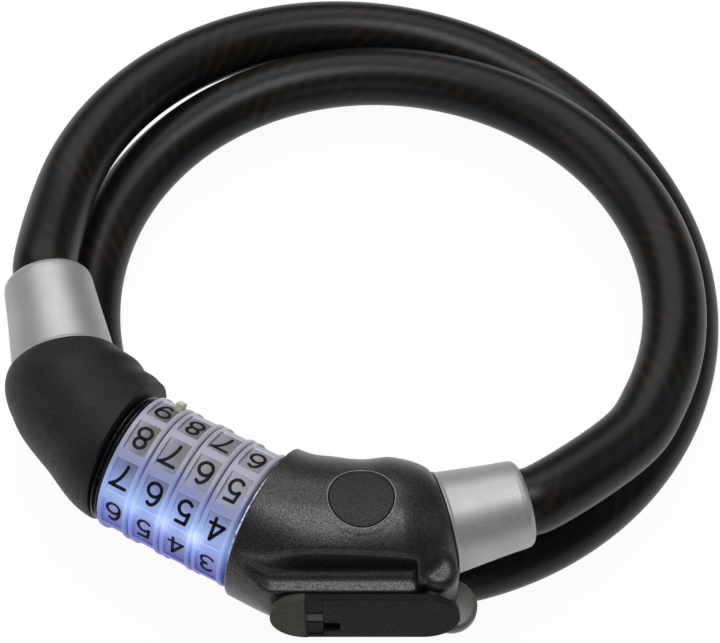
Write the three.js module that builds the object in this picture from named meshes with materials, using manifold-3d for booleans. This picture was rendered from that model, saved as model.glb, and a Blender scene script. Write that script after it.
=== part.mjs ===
// A combination cable lock: a lit four-dial lock body, a pull-out plug, and a sheathed steel
// cable that is wound one and a half turns.  Millimetres, +Z up.
//
// Two frames are used.  The plan frame has its origin on the floor at the middle of the coil,
// with +X along the carrier shoe and +Y away from it.  The finished group is moved so that its
// origin is the middle of the carrier shoe's flat face.
import * as THREE from "three";
import { mergeVertices } from "three/addons/utils/BufferGeometryUtils.js";
import Module from "manifold-3d";

const wasm = await Module();
wasm.setup();

// ---------------------------------------------------------------- driving dimensions
const gap = 0.3; // between neighbours that touch on the real lock
const runGap = 0.3; // between pieces that turn or slide on each other

// cable
const sheathDiameter = 15;
const coreDiameter = 7.4;
const cableSides = 12;
const flatDepth = 1.5; // how far the lying cable is pressed flat
const cableInFerrule = 12; // how deep each end sits
const coilRadius = 69.3; // of the lying turn
const coilGrowth = 16.2; // the upper turn swings out by this much
const coilGrowthAt = 448; // degrees along the coil
const coilGrowthSpan = 157;
const coilOval = 2.45;
const coilOvalAt = 153;
const coilStart = -36;
const coilEnd = 522;
const coilStep = 9;
const rampHeight = 23.5; // from the lying turn up to a ferrule
const rampDownFrom = -62;
const rampDownTo = 205;
const rampUpFrom = 393;
const rampUpTo = 545;

// lock body on its dial axis
const axisHeight = 31.5;
const stackCentre = [-40.5, -58.0];
const stackHeading = -28; // degrees in plan, from the plug towards the lock
const dialCount = 4;
const dialPitch = 7.9;
const dialRadius = 15.75;
const dialBore = 21;
const dialShoulder = 1.1;
const digitCount = 10;
const digitPhase = 2.5; // degrees, of the top digit past upright
const dialStagger = 1.8; // degrees that each dial is turned past the one on its plug side
const digitPocketWide = 5.2; // along the axis
const digitPocketHigh = 7.7; // round the dial
const digitPocketDepth = 0.75;
const tabSize = [1.9, 2.2, 1.2]; // the first dial's tab: along the axis, round it, and out
const tabAt = 40; // degrees round the dial
const ringOuter = 20.4;
const ringWidth = 5.45;
const barrelOuter = 11.4;
const barrelBore = 8;
const barrelSlot = 3;
const barrelInHousing = 17;
const pinDiameter = 2.4;
const barrelPinAt = 11; // into the lock housing
const boltPinAt = 7; // into the plug housing
const pinFoot = 15.4; // how far a pin reaches below the axis
const boltDiameter = 7.4;
const lugRadius = 8.4;
const lugWidth = 2.4;
const lugThick = 1.6;
const boltReach = 2.7; // past the last lug
const boltInPlug = 13;
const collarLength = 2.2;
const collarRadius = 15.0;

// housings, as distances from the middle of the dial stack
const lockElbow = 32;
const lockLeg = 27.2;
const lockTurn = 43.5; // degrees
const plugElbow = 30.3;
const plugLeg = 18.1;
const plugTurn = 47.5;
// radii of a housing's skin from the dials to the shoulder: towards the coil, up, and away from it
const lockSkin = {
  inner: [18.6, 18.3, 17.0, 16.4],
  up: [17.7, 17.6, 17.1, 16.4],
  outer: [16.8, 19.6, 18.6, 16.4],
};
const lockShoulder = 10;
const lockEndRadius = 11.7;
const plugSkin = {
  inner: [18.4, 18.6, 17.0, 14.6],
  up: [17.2, 16.6, 15.6, 14.4],
  outer: [15.2, 13.2, 14.4, 15.2],
};
const plugShoulder = 7;
const plugEndRadius = 12.6;
const shoulderPower = 1.6; // 2 is a quarter round

// ferrules
const lockFerruleLength = 18.9;
const lockFerruleRadii = [11.5, 9.75];
const lockMouthEdge = 1.6; // rounding of a ferrule's mouth
const plugFerruleLength = 23.8;
const plugFerruleRadii = [12.0, 10.3];
const plugMouthEdge = 2.4;
const spigotRadius = 8.4;
const spigotLength = 8;
const crimpRadius = 5.6;
const crimpTail = 7.5; // how far a crimp reaches back into the housing
const coreInCrimp = 7;
const crimpPinAt = 4;

// light button
const buttonPlace = [-3.7, -66.9];
const buttonDiameter = 13.8;
const buttonUnderside = 45;
const buttonTravel = 0.8;
const buttonPocketFloor = 40.2;
const boardThick = 1.0;
const stemDiameter = 3.4;
const switchSize = [4.4, 4.4, 1.6];
const buttonSpringDiameter = 8.6;
const buttonSpringWall = 0.7;

// ring of light behind the dials' lock side
const litStrip = 1.2; // how much of it shows between the last dial and the housing
const lightInner = 10.8;
const lightOuter = 14.4;
const lightThick = 1.6;
const lampDiameter = 2.4;
const lampHeight = 1.1;
const lampAngles = [-150, -90, -30]; // degrees round the dial axis, 0 towards the coil
const lightDeep = lightThick + lampHeight + boardThick + 2 * gap;

// carrier shoe, in a frame whose +Z leaves the shoe's face
const shoeCentre = [-2.95, -88.5, 33.3];
const shoeTilt = 10; // degrees that the face looks up
const shoeLength = 40.5;
const shoeHeight = 15.3;
const shoeThick = 1.6;
const shoeGap = 1.4; // the slot behind the shoe
const shoeCapLength = 7.5;
const shelfDepth = 3.5;
const shelfHeight = 5.6; // above the middle of the shoe
const shelfFillet = 2.6;
const shelfRight = 11; // where the shelf ends in a notch beside the knuckle
const shelfLeft = -19; // from here the shelf fades out towards the dials
const shelfFade = { x: -29.2, height: 9.6, flank: -8.85 };
const neckLength = 33;
const neckHeight = 7.4;
const windowLength = 3.9;
const windowHeight = 10.4;
const catchTravel = 1.2;
const catchThick = 3.8;
const catchRecess = 0.5; // how far the catch sits below the shoe's face
const catchCell = { y: 3.2, height: 2.4, depth: 0.8, edge: 0.5 }; // the two hollows in its face
const catchSpringLength = 3.4;
const catchSpringDiameter = 2.8;
const keyHole = { x: 1.8, y: -3.3, width: 3.6, height: 3.2 };

// battery bay under the knuckle
const knucklePlace = [12.6, -80.2];
const knuckleRadius = 4.5;
const knuckleTop = 41;
const knuckleDome = 4;
const knuckleFoot = 24.6;
const bayDiameter = 7.2;
const bayFoot = 1.2; // from the knuckle's foot to the first cell
const cellDiameter = 6.6;
const cellThick = 2.6;
const cellCount = 3;
const cellSpringRoom = 2.6;
const cellCapPlace = [15.8, -81.6];
const cellCapRadius = 5.9;
const cellCapThick = 3.4;

// ---------------------------------------------------------------- small tools
const rad = THREE.MathUtils.degToRad;
const clamp = THREE.MathUtils.clamp;
const lerp = THREE.MathUtils.lerp;
const smooth = THREE.MathUtils.smoothstep;
const axisX = new THREE.Matrix4().makeRotationZ(-Math.PI / 2); // turns +Y onto +X

// a closed three.js geometry as a manifold solid
function solid(geometry, matrix) {
  const g = geometry.clone();
  g.deleteAttribute("normal");
  g.deleteAttribute("uv");
  if (matrix) g.applyMatrix4(matrix);
  const merged = mergeVertices(g, 1e-4);
  const index = merged.index.array;
  const kept = [];
  for (let i = 0; i < index.length; i += 3) {
    const [a, b, c] = index.slice(i, i + 3);
    if (a !== b && b !== c && c !== a) kept.push(a, b, c); // a pole leaves empty triangles
  }
  const mesh = new wasm.Mesh({
    numProp: 3,
    vertProperties: merged.attributes.position.array,
    triVerts: new Uint32Array(kept),
  });
  return new wasm.Manifold(mesh);
}

function geometryOf(manifold) {
  const mesh = manifold.getMesh();
  const g = new THREE.BufferGeometry();
  g.setAttribute("position", new THREE.BufferAttribute(new Float32Array(mesh.vertProperties), 3));
  g.setIndex(new THREE.BufferAttribute(new Uint32Array(mesh.triVerts), 1));
  g.computeVertexNormals();
  return g;
}

// rings of equally many points, joined into a closed skin with flat ends
function loft(rings) {
  const count = rings[0].length;
  const points = rings.flat();
  const index = [];
  for (let i = 0; i + 1 < rings.length; i++) {
    for (let j = 0; j < count; j++) {
      const a = i * count + j;
      const b = i * count + ((j + 1) % count);
      index.push(a, b, b + count);
      index.push(a, b + count, a + count);
    }
  }
  const last = (rings.length - 1) * count;
  for (let j = 1; j + 1 < count; j++) {
    index.push(0, j + 1, j);
    index.push(last, last + j, last + j + 1);
  }
  const g = new THREE.BufferGeometry();
  const flat = new Float32Array(points.flatMap((p) => [p.x, p.y, p.z]));
  g.setAttribute("position", new THREE.BufferAttribute(flat, 3));
  g.setIndex(index);
  return g;
}

// a turned solid about +X; profile points are [x, radius]
function turned(profile, sides = 32) {
  const points = profile.map(([x, r]) => new THREE.Vector2(r, x));
  return solid(new THREE.LatheGeometry(points, sides), axisX);
}

// a turned solid about +Z; profile points are [z, radius]
function turnedUp(profile, sides = 32) {
  const points = profile.map(([z, r]) => new THREE.Vector2(r, z));
  return solid(new THREE.LatheGeometry(points, sides), new THREE.Matrix4().makeRotationX(Math.PI / 2));
}

function rodX(radius, from, to, sides = 24) {
  return turned([[from, 0], [from, radius], [to, radius], [to, 0]], sides);
}

function rodZ(radius, from, to, sides = 24) {
  return turnedUp([[from, 0], [from, radius], [to, radius], [to, 0]], sides);
}

function tubeX(inner, outer, from, to, sides = 28) {
  return turned([[from, inner], [from, outer], [to, outer], [to, inner], [from, inner]], sides);
}

function box(from, to) {
  const size = to.map((v, i) => v - from[i]);
  const middle = to.map((v, i) => (v + from[i]) / 2);
  const place = new THREE.Matrix4().makeTranslation(...middle);
  return solid(new THREE.BoxGeometry(...size), place);
}

// an upright slab with round ends, lying along X
function stadium(length, height, from, to, bevel = 0) {
  const r = height / 2 - bevel;
  const half = length / 2 - height / 2;
  const shape = new THREE.Shape();
  shape.moveTo(-half, -r);
  shape.lineTo(half, -r);
  shape.absarc(half, 0, r, -Math.PI / 2, Math.PI / 2, false);
  shape.lineTo(-half, r);
  shape.absarc(-half, 0, r, Math.PI / 2, (3 * Math.PI) / 2, false);
  const options = {
    depth: to - from - 2 * bevel,
    bevelEnabled: bevel > 0,
    bevelThickness: bevel,
    bevelSize: bevel,
    bevelSegments: 2,
    curveSegments: 10,
  };
  const place = new THREE.Matrix4().makeTranslation(0, 0, from + bevel);
  return solid(new THREE.ExtrudeGeometry(shape, options), place);
}

function moved(manifold, x, y, z) {
  return manifold.translate([x, y, z]);
}

function material(color, roughness, metalness = 0) {
  return new THREE.MeshStandardMaterial({ color, roughness, metalness });
}

const finish = {
  housing: () => material(0x1b1b1a, 0.5),
  collar: () => material(0x0d0d0d, 0.35),
  ferrule: () => material(0xb9b9b7, 0.32, 0.9),
  dial: () => material(0xc9d2ee, 0.35),
  ring: () => material(0xb08d4a, 0.4, 0.9),
  steel: () => material(0x9a9ca0, 0.35, 1),
  sheath: () => material(0x171412, 0.3),
  cap: () => material(0x9b9b95, 0.45),
  board: () => material(0x1f5a36, 0.6),
  lamp: () => material(0xeef4ff, 0.2),
};

const lock = new THREE.Group();
const plan = new THREE.Group(); // pieces in the plan frame
const stack = new THREE.Group(); // pieces on the dial axis, +X towards the lock housing
const shoe = new THREE.Group(); // pieces in the shoe's frame
stack.position.set(...stackCentre, axisHeight);
stack.rotation.z = rad(stackHeading);
shoe.position.set(...shoeCentre);
shoe.rotation.x = rad(90 - shoeTilt);
lock.add(plan, stack, shoe);
plan.position.set(...shoeCentre.map((v) => -v));
for (const group of [stack, shoe]) group.position.add(plan.position);
for (const group of [stack, shoe]) group.updateMatrix();

function add(group, name, manifold, look) {
  const mesh = new THREE.Mesh(geometryOf(manifold), look());
  mesh.name = name;
  group.add(mesh);
  return mesh;
}

// between frames: a solid drawn in the plan frame or the shoe's frame, as the stack sees it
const stackInverse = stack.matrix.clone().invert();
const fromPlan = stackInverse.clone().multiply(new THREE.Matrix4().setPosition(plan.position));
const fromShoe = stackInverse.clone().multiply(shoe.matrix);

function inStack(manifold, matrix) {
  return manifold.transform(matrix.elements);
}

// ---------------------------------------------------------------- places along the dial axis
const stackHalf = (dialCount * dialPitch) / 2;
const dialWidth = dialPitch - runGap;
const dialX = (i) => (i - (dialCount - 1) / 2) * dialPitch;
const lockFace = stackHalf + litStrip; // where the lock housing starts
const collarFace = -stackHalf - gap / 2; // where the collar starts, going towards the plug
const plugFace = collarFace - collarLength - runGap;
const barrelEnd = lockFace + barrelInHousing;
const ringGapX = (i) => dialX(i) + dialPitch / 2; // the free plane beside code ring i
const boltTip = ringGapX(dialCount - 1) + lugThick / 2 + boltReach;
const boltRoot = plugFace - boltInPlug;
const slotEnd = ringGapX(dialCount - 1) + lugThick / 2 + runGap; // where the last lug stops

// ---------------------------------------------------------------- housings
// A housing is a tube skin carried along a bent axis.  at(s) gives the axis point, s from 0 at
// the dials to 1 at the ferrule, and the heading there in the stack's plan.
function elbowPath(start, elbow, leg, turn, side) {
  const end = [
    side * (elbow + leg * Math.cos(rad(turn))),
    leg * Math.sin(rad(turn)),
  ];
  const curve = new THREE.QuadraticBezierCurve3(
    new THREE.Vector3(side * start, 0, 0),
    new THREE.Vector3(side * elbow, 0, 0),
    new THREE.Vector3(...end, 0),
  );
  return curve;
}

const lockPath = elbowPath(lockFace, lockElbow, lockLeg, lockTurn, 1);
const plugPath = elbowPath(-plugFace, plugElbow, plugLeg, plugTurn, -1);

// the skin's radius: blends through the list, then falls in a rounded shoulder
function skinRadius(list, s, length, shoulder, endRadius) {
  const along = clamp(s, 0, 1) * (list.length - 1);
  const i = Math.min(Math.floor(along), list.length - 2);
  const plain = lerp(list[i], list[i + 1], smooth(along - i, 0, 1));
  const into = clamp((s * length - (length - shoulder)) / shoulder, 0, 1);
  const fall = Math.pow(1 - Math.pow(into, shoulderPower), 1 / shoulderPower);
  return endRadius + (plain - endRadius) * fall;
}

function housingSkin(path, skin, shoulder, endRadius, around = 32, stations = 14) {
  const length = path.getLength();
  const rings = [];
  for (let i = 0; i <= stations; i++) {
    const s = Math.sin((i / stations) * (Math.PI / 2)) * 0.35 + (i / stations) * 0.65;
    const p = path.getPointAt(s);
    const t = path.getTangentAt(s);
    const side = new THREE.Vector3(-t.y, t.x, 0);
    const at = (list) => skinRadius(list, s, length, shoulder, endRadius);
    const wide = [at(skin.inner), at(skin.outer)];
    if (t.x < 0) wide.reverse(); // side then points away from the coil
    const up = at(skin.up);
    const ring = [];
    for (let j = 0; j < around; j++) {
      const a = (j / around) * 2 * Math.PI;
      const c = Math.cos(a);
      const off = side.clone().multiplyScalar(c * (c > 0 ? wide[0] : wide[1]));
      ring.push(p.clone().add(off).add(new THREE.Vector3(0, 0, up * Math.sin(a))));
    }
    rings.push(ring);
  }
  return solid(loft(rings));
}

// a matrix that puts +X along a path's end, pointing out of the housing
function endMatrix(path) {
  const p = path.getPointAt(1);
  const t = path.getTangentAt(1);
  return new THREE.Matrix4()
    .makeTranslation(p.x, p.y, p.z)
    .multiply(new THREE.Matrix4().makeRotationZ(Math.atan2(t.y, t.x)));
}

const lockEnd = endMatrix(lockPath);
const plugEnd = endMatrix(plugPath);

// ---------------------------------------------------------------- lock housing
const frontFlat = -shoeThick - shoeGap; // the housing's flat front, in the shoe's frame
const flankPlane = frontFlat - shelfDepth;

// what is cut away above the shelf: a hollow with a rounded corner that fades out at the dials
function shelfHollow() {
  const far = 30;
  const ring = (x) => {
    const t = smooth(x, shelfFade.x, shelfLeft);
    const low = lerp(shelfFade.height, shelfHeight, t);
    const flank = lerp(shelfFade.flank, flankPlane, t);
    const corner = [];
    for (let i = 0; i <= 5; i++) {
      const a = (i / 5) * (Math.PI / 2);
      const z = flank + shelfFillet * (1 - Math.sin(a));
      const y = low + shelfFillet * (1 - Math.cos(a));
      corner.push(new THREE.Vector3(x, y, z));
    }
    corner.push(new THREE.Vector3(x, far, flank));
    corner.push(new THREE.Vector3(x, far, far));
    corner.push(new THREE.Vector3(x, low, far));
    return corner;
  };
  const rings = [];
  const steps = 6;
  for (let i = 0; i <= steps; i++) rings.push(ring(lerp(shelfFade.x, shelfLeft, i / steps)));
  rings.push(ring(shelfRight));
  return solid(loft(rings));
}

function knuckle() {
  const body = turnedUp(
    [
      [knuckleFoot, 0],
      [knuckleFoot, knuckleRadius],
      [knuckleTop - knuckleDome, knuckleRadius],
      [knuckleTop - knuckleDome * 0.6, knuckleRadius * 0.92],
      [knuckleTop - knuckleDome * 0.25, knuckleRadius * 0.66],
      [knuckleTop, knuckleRadius * 0.3],
      [knuckleTop, 0],
    ],
    24,
  );
  return moved(body, ...knucklePlace, 0);
}

function barrelPinHole() {
  const x = lockFace + barrelPinAt;
  return moved(rodZ(pinDiameter / 2 + gap, -pinFoot - 5, barrelOuter / 2), x, 0, 0);
}

// the outside of the lock housing, before anything is hollowed out
function lockForm() {
  const far = 60;
  let body = housingSkin(lockPath, lockSkin, lockShoulder, lockEndRadius);
  const beyond = box([-far, -far, frontFlat], [far, far, far]);
  body = body.subtract(inStack(beyond, fromShoe));
  body = body.subtract(inStack(shelfHollow(), fromShoe));
  return body.add(inStack(knuckle(), fromPlan));
}

function lockHousing() {
  let body = lockForm();
  // barrel bore, recess of the light ring and ferrule socket
  body = body.subtract(rodX(barrelOuter / 2 + gap, lockFace - 5, barrelEnd + gap));
  body = body.subtract(lugSlot(lockFace - 5, slotEnd, runGap));
  body = body.subtract(tubeX(lightInner - gap, lightOuter + gap, lockFace - 5, lockFace + lightDeep + gap));
  body = body.subtract(inStack(rodX(spigotRadius + gap, -spigotLength - gap, 5, 28), lockEnd));
  // pocket of the light button
  const pocket = rodZ(buttonDiameter / 2 + runGap, buttonPocketFloor, 2 * axisHeight, 32);
  body = body.subtract(inStack(moved(pocket, ...buttonPlace, 0), fromPlan));
  // battery bay
  const [kx, ky] = knucklePlace;
  const bay = moved(rodZ(bayDiameter / 2, knuckleFoot - 5, bayRoof), kx, ky, 0);
  const capSeat = moved(rodZ(cellCapRadius + gap, 0, knuckleFoot), ...cellCapPlace, 0);
  body = body.subtract(inStack(bay.add(capSeat), fromPlan));
  // pocket of the shoe's catch
  body = body.subtract(inStack(catchPocket(), fromShoe));
  return body.subtract(barrelPinHole());
}

// ---------------------------------------------------------------- carrier shoe
const seamX = -shoeLength / 2 + shoeCapLength;
const windowMiddle = seamX + windowLength / 2;
const catchFront = -catchRecess;
const catchBack = catchFront - catchThick;
const catchFloor = catchBack - catchSpringLength - 2 * gap;

function catchPocket() {
  const half = windowLength / 2;
  const high = windowHeight / 2;
  return box([windowMiddle - half, -high, catchFloor], [windowMiddle + half, high, 5]);
}

function carrierShoe() {
  const plate = stadium(shoeLength, shoeHeight, -shoeThick, 0, 0.3);
  const neck = stadium(neckLength, neckHeight, frontFlat + gap, -shoeThick / 2);
  const capSide = box([-shoeLength, -shoeHeight, -shoeThick - 5], [seamX, shoeHeight, 5]);
  const { x, y, width, height } = keyHole;
  const left = seamX + windowLength + x - width / 2;
  const hole = box([left, y - height / 2, -shoeThick - 5], [left + width, y + height / 2, 5]);
  return plate.subtract(capSide).add(neck.subtract(capSide)).subtract(catchPocket()).subtract(hole);
}

function shoeCap() {
  const plate = stadium(shoeLength, shoeHeight, -shoeThick, 0, 0.3);
  const side = box([-shoeLength, -shoeHeight, -5], [seamX - gap, shoeHeight, 5]);
  return plate.intersect(side);
}

function shoeCatch() {
  const half = windowLength / 2 - runGap;
  const high = windowHeight / 2 - runGap;
  const body = box([windowMiddle - half, -high, catchBack], [windowMiddle + half, high, catchFront]);
  const wide = half - catchCell.edge;
  const tall = catchCell.height / 2;
  const cell = (y) =>
    box([windowMiddle - wide, y - tall, catchFront - catchCell.depth], [windowMiddle + wide, y + tall, 5]);
  return body.subtract(cell(catchCell.y)).subtract(cell(-catchCell.y));
}

function catchSpring() {
  const r = catchSpringDiameter / 2;
  const spring = rodZ(r, catchFloor + gap, catchBack - gap, 12);
  return moved(spring, windowMiddle, 0, 0);
}

// ---------------------------------------------------------------- battery bay
const cellZ = (i) => knuckleFoot + bayFoot + i * (cellThick + gap);
const bayRoof = cellZ(cellCount) + cellSpringRoom;

function cellCap() {
  const [x, y] = cellCapPlace;
  const top = knuckleFoot - gap;
  const r = cellCapRadius;
  const disc = turnedUp([
    [top - cellCapThick, 0],
    [top - cellCapThick, r - 0.8],
    [top - cellCapThick + 0.8, r],
    [top - 1.0, r],
    [top - 0.3, r - 0.35],
    [top, r - 1.0],
    [top, 0],
  ]);
  const plug = rodZ(bayDiameter / 2 - gap, top - 1, cellZ(0) - gap, 20);
  return moved(disc, x, y, 0).add(moved(plug, ...knucklePlace, 0));
}

// ---------------------------------------------------------------- dials and barrel
function dial(turn) {
  const half = dialWidth / 2;
  const r = dialRadius;
  const b = dialBore / 2;
  const c = dialShoulder;
  let body = turned(
    [
      [-half, b],
      [-half, r - c],
      [-half + c * 0.3, r - c * 0.35],
      [-half + c, r],
      [half - c, r],
      [half - c * 0.3, r - c * 0.35],
      [half, r - c],
      [half, b],
      [-half, b],
    ],
    40,
  );
  for (let i = 0; i < digitCount; i++) {
    const pocket = box(
      [-digitPocketWide / 2, -digitPocketHigh / 2, r - digitPocketDepth],
      [digitPocketWide / 2, digitPocketHigh / 2, r + 2],
    );
    body = body.subtract(pocket.rotate([(i * 360) / digitCount + digitPhase + turn, 0, 0]));
  }
  return body;
}

function dialTab() {
  const [along, round, out] = tabSize;
  const right = dialWidth / 2 - dialShoulder;
  const tab = box([right - along, -round / 2, dialRadius - 2], [right, round / 2, dialRadius + out]);
  return tab.rotate([tabAt - 90, 0, 0]);
}

function lugSlot(from, to, clear) {
  const half = lugWidth / 2 + clear;
  return box([from, -half, -lugRadius - clear], [to, half, 0]);
}

function codeRing() {
  const half = ringWidth / 2;
  const ring = tubeX(barrelOuter / 2 + runGap, ringOuter / 2, -half, half);
  return ring.subtract(lugSlot(-half - 1, half + 1, runGap));
}

function lockBarrel() {
  const start = collarFace - collarLength;
  const tube = tubeX(barrelBore / 2, barrelOuter / 2, start, barrelEnd);
  const slot = box([start - 1, -barrelSlot / 2, -barrelOuter], [slotEnd, barrelSlot / 2, 0]);
  const pin = moved(rodZ(pinDiameter / 2 + gap, -barrelOuter, barrelOuter), lockFace + barrelPinAt, 0, 0);
  return tube.subtract(slot).subtract(pin);
}

function endCollar() {
  const start = collarFace - collarLength;
  const r = collarRadius;
  const ridge = (x) => [
    [x, r - 0.9],
    [x + 0.25, r],
    [x + 0.75, r],
    [x + 1.0, r - 0.9],
  ];
  const body = turned(
    [
      [start, barrelOuter / 2 + gap],
      [start, r - 1.4],
      ...ridge(start + 0.1),
      ...ridge(start + collarLength - 1.1),
      [collarFace, r - 1.4],
      [collarFace, barrelOuter / 2 + gap],
      [start, barrelOuter / 2 + gap],
    ],
    30,
  );
  return body.subtract(lugSlot(start - 1, collarFace + 1, runGap));
}

function lockingBolt() {
  const r = boltDiameter / 2;
  let bolt = turned([
    [boltRoot, 0],
    [boltRoot, r],
    [boltTip - 1.2, r],
    [boltTip, r - 1.4],
    [boltTip, 0],
  ]);
  for (let i = 0; i < dialCount; i++) {
    const x = ringGapX(i);
    const half = lugWidth / 2;
    bolt = bolt.add(box([x - lugThick / 2, -half, -lugRadius], [x + lugThick / 2, half, -1]));
  }
  const pin = moved(rodZ(pinDiameter / 2 + gap, -20, 20), plugFace - boltPinAt, 0, 0);
  return bolt.subtract(pin);
}

// ---------------------------------------------------------------- plug
function plugHousing() {
  let body = housingSkin(plugPath, plugSkin, plugShoulder, plugEndRadius);
  body = body.subtract(rodX(boltDiameter / 2 + gap, boltRoot - gap, plugFace + 5));
  body = body.subtract(inStack(rodX(spigotRadius + gap, -spigotLength - gap, 5, 28), plugEnd));
  const hole = rodZ(pinDiameter / 2 + gap, -pinFoot - 5, boltDiameter / 2 + 2.6);
  return body.subtract(moved(hole, plugFace - boltPinAt, 0, 0));
}

// ---------------------------------------------------------------- ferrules and cable ends
function ferrule(length, [wide, narrow], edge) {
  const bore = sheathDiameter / 2 + gap;
  const inner = crimpRadius + gap;
  const deep = length - cableInFerrule - gap;
  const body = turned([
    [-spigotLength, inner],
    [-spigotLength, spigotRadius],
    [gap, spigotRadius],
    [gap, wide],
    [length * 0.35, lerp(wide, narrow, 0.42)],
    [length * 0.7, lerp(wide, narrow, 0.8)],
    [length - edge, narrow],
    [length - edge * 0.62, narrow - edge * 0.08],
    [length - edge * 0.3, narrow - edge * 0.3],
    [length - edge * 0.08, narrow - edge * 0.62],
    [length, narrow - edge],
    [length, bore],
    [deep, bore],
    [deep, inner],
    [-spigotLength, inner],
  ], 28);
  const pin = moved(rodZ(pinDiameter / 2 + gap, -20, 20), -crimpPinAt, 0, 0);
  return body.subtract(pin);
}

function crimp(length) {
  const end = length - cableInFerrule - 2 * gap;
  const bore = coreDiameter / 2 + gap;
  const floor = length - cableInFerrule - coreInCrimp - gap;
  const body = turned([
    [-crimpTail, 0],
    [-crimpTail, crimpRadius],
    [end, crimpRadius],
    [end, bore],
    [floor, bore],
    [floor, 0],
  ]);
  const pin = moved(rodZ(pinDiameter / 2 + gap, -20, 20), -crimpPinAt, 0, 0);
  return body.subtract(pin);
}

function crimpPin() {
  return moved(rodZ(pinDiameter / 2, -spigotRadius + 0.2, spigotRadius - 0.2, 16), -crimpPinAt, 0, 0);
}

// ---------------------------------------------------------------- cable
// The coil in the plan frame, by its angle in degrees: it comes down from the lock ferrule, lies
// under the lock for half a turn and climbs to the plug ferrule outside the first turn.
function coilPoint(degrees) {
  const swing = clamp((degrees - coilGrowthAt) / coilGrowthSpan, -1, 1);
  const r =
    coilRadius +
    (coilGrowth * (1 + Math.cos(Math.PI * swing))) / 2 +
    coilOval * Math.cos(2 * rad(degrees - coilOvalAt));
  const down = clamp((rampDownTo - degrees) / (rampDownTo - rampDownFrom), 0, 1);
  const up = clamp((degrees - rampUpFrom) / (rampUpTo - rampUpFrom), 0, 1);
  const z = sheathDiameter / 2 - flatDepth + rampHeight * (down + Math.pow(up, 1.06));
  return new THREE.Vector3(r * Math.cos(rad(degrees)), r * Math.sin(rad(degrees)), z);
}

const toPlan = fromPlan.clone().invert();

function ferruleAxis(end, length) {
  const place = toPlan.clone().multiply(end);
  return (x) => new THREE.Vector3(length + x, 0, 0).applyMatrix4(place);
}

function cableRoute() {
  const lockAt = ferruleAxis(lockEnd, lockFerruleLength);
  const plugAt = ferruleAxis(plugEnd, plugFerruleLength);
  const points = [lockAt(-cableInFerrule), lockAt(0), lockAt(3)];
  for (let a = coilStart; a <= coilEnd; a += coilStep) points.push(coilPoint(a));
  points.push(plugAt(3), plugAt(0), plugAt(-cableInFerrule));
  return new THREE.CatmullRomCurve3(points, false, "centripetal");
}

const route = cableRoute();

// rings round the route at its own points; the ends are moved out by extra
function cableRings(radius, sides, extra, floor) {
  const last = route.points.length - 1;
  return route.points.map((point, i) => {
    const t = route.getTangent(i / last);
    const side = new THREE.Vector3(-t.y, t.x, 0).normalize();
    const up = t.clone().cross(side);
    const out = i === 0 ? -extra : i === last ? extra : 0;
    const centre = point.clone().addScaledVector(t, out);
    return Array.from({ length: sides }, (_, j) => {
      const a = ((j + 0.5) / sides) * 2 * Math.PI;
      const p = centre.clone().addScaledVector(side, radius * Math.cos(a));
      p.addScaledVector(up, radius * Math.sin(a));
      p.z = Math.max(p.z, floor);
      return p;
    });
  });
}

function cableSheath() {
  const skin = solid(loft(cableRings(sheathDiameter / 2, cableSides, 0, 0)));
  const bore = solid(loft(cableRings(coreDiameter / 2 + gap, 8, 1, -99)));
  return skin.subtract(bore);
}

function cableCore() {
  return solid(loft(cableRings(coreDiameter / 2, 8, coreInCrimp, -99)));
}

function leastGap() {
  const points = route.getSpacedPoints(500);
  const step = route.getLength() / 500;
  const skip = Math.ceil((4 * sheathDiameter) / step);
  let least = Infinity;
  for (let i = 0; i < points.length; i++) {
    for (let j = i + skip; j < points.length; j++) {
      least = Math.min(least, points[i].distanceTo(points[j]));
    }
  }
  return least - sheathDiameter;
}
const runLength = route.getLength().toFixed(1);
console.log(`cable length ${runLength} mm, least gap to itself ${leastGap().toFixed(2)} mm`);

// ---------------------------------------------------------------- light button
const boardTop = buttonPocketFloor + gap + boardThick;
const switchTop = boardTop + gap + switchSize[2];

// its face is the housing's own skin; in the stack's frame
function lightButton() {
  const disc = moved(rodZ(buttonDiameter / 2, buttonUnderside, 2 * axisHeight, 32), ...buttonPlace, 0);
  const stem = rodZ(stemDiameter / 2, switchTop + buttonTravel + gap, buttonUnderside + 1, 12);
  const face = inStack(disc, fromPlan).intersect(lockForm());
  return face.add(inStack(moved(stem, ...buttonPlace, 0), fromPlan));
}

function buttonSpring() {
  const low = boardTop + gap;
  const high = buttonUnderside - gap;
  const r = buttonSpringDiameter / 2;
  const wall = buttonSpringWall;
  return turnedUp([[low, r - wall], [low, r], [high, r], [high, r - wall], [low, r - wall]], 20);
}

// ---------------------------------------------------------------- the assembly
add(stack, "lock_housing", lockHousing(), finish.housing);
add(shoe, "carrier_shoe", carrierShoe(), finish.housing);
add(shoe, "shoe_cap", shoeCap(), finish.cap);
add(shoe, "shoe_catch", shoeCatch(), finish.housing);
add(shoe, "catch_spring", catchSpring(), finish.steel);

add(plan, "cell_cap", cellCap(), finish.cap);
for (let i = 0; i < cellCount; i++) {
  const cell = moved(rodZ(cellDiameter / 2, cellZ(i), cellZ(i) + cellThick, 20), ...knucklePlace, 0);
  add(plan, `cell_${i + 1}`, cell, finish.steel);
}
const cellSpring = rodZ(cellDiameter / 4, cellZ(cellCount), bayRoof - gap, 12);
add(plan, "cell_spring", moved(cellSpring, ...knucklePlace, 0), finish.steel);

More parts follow.
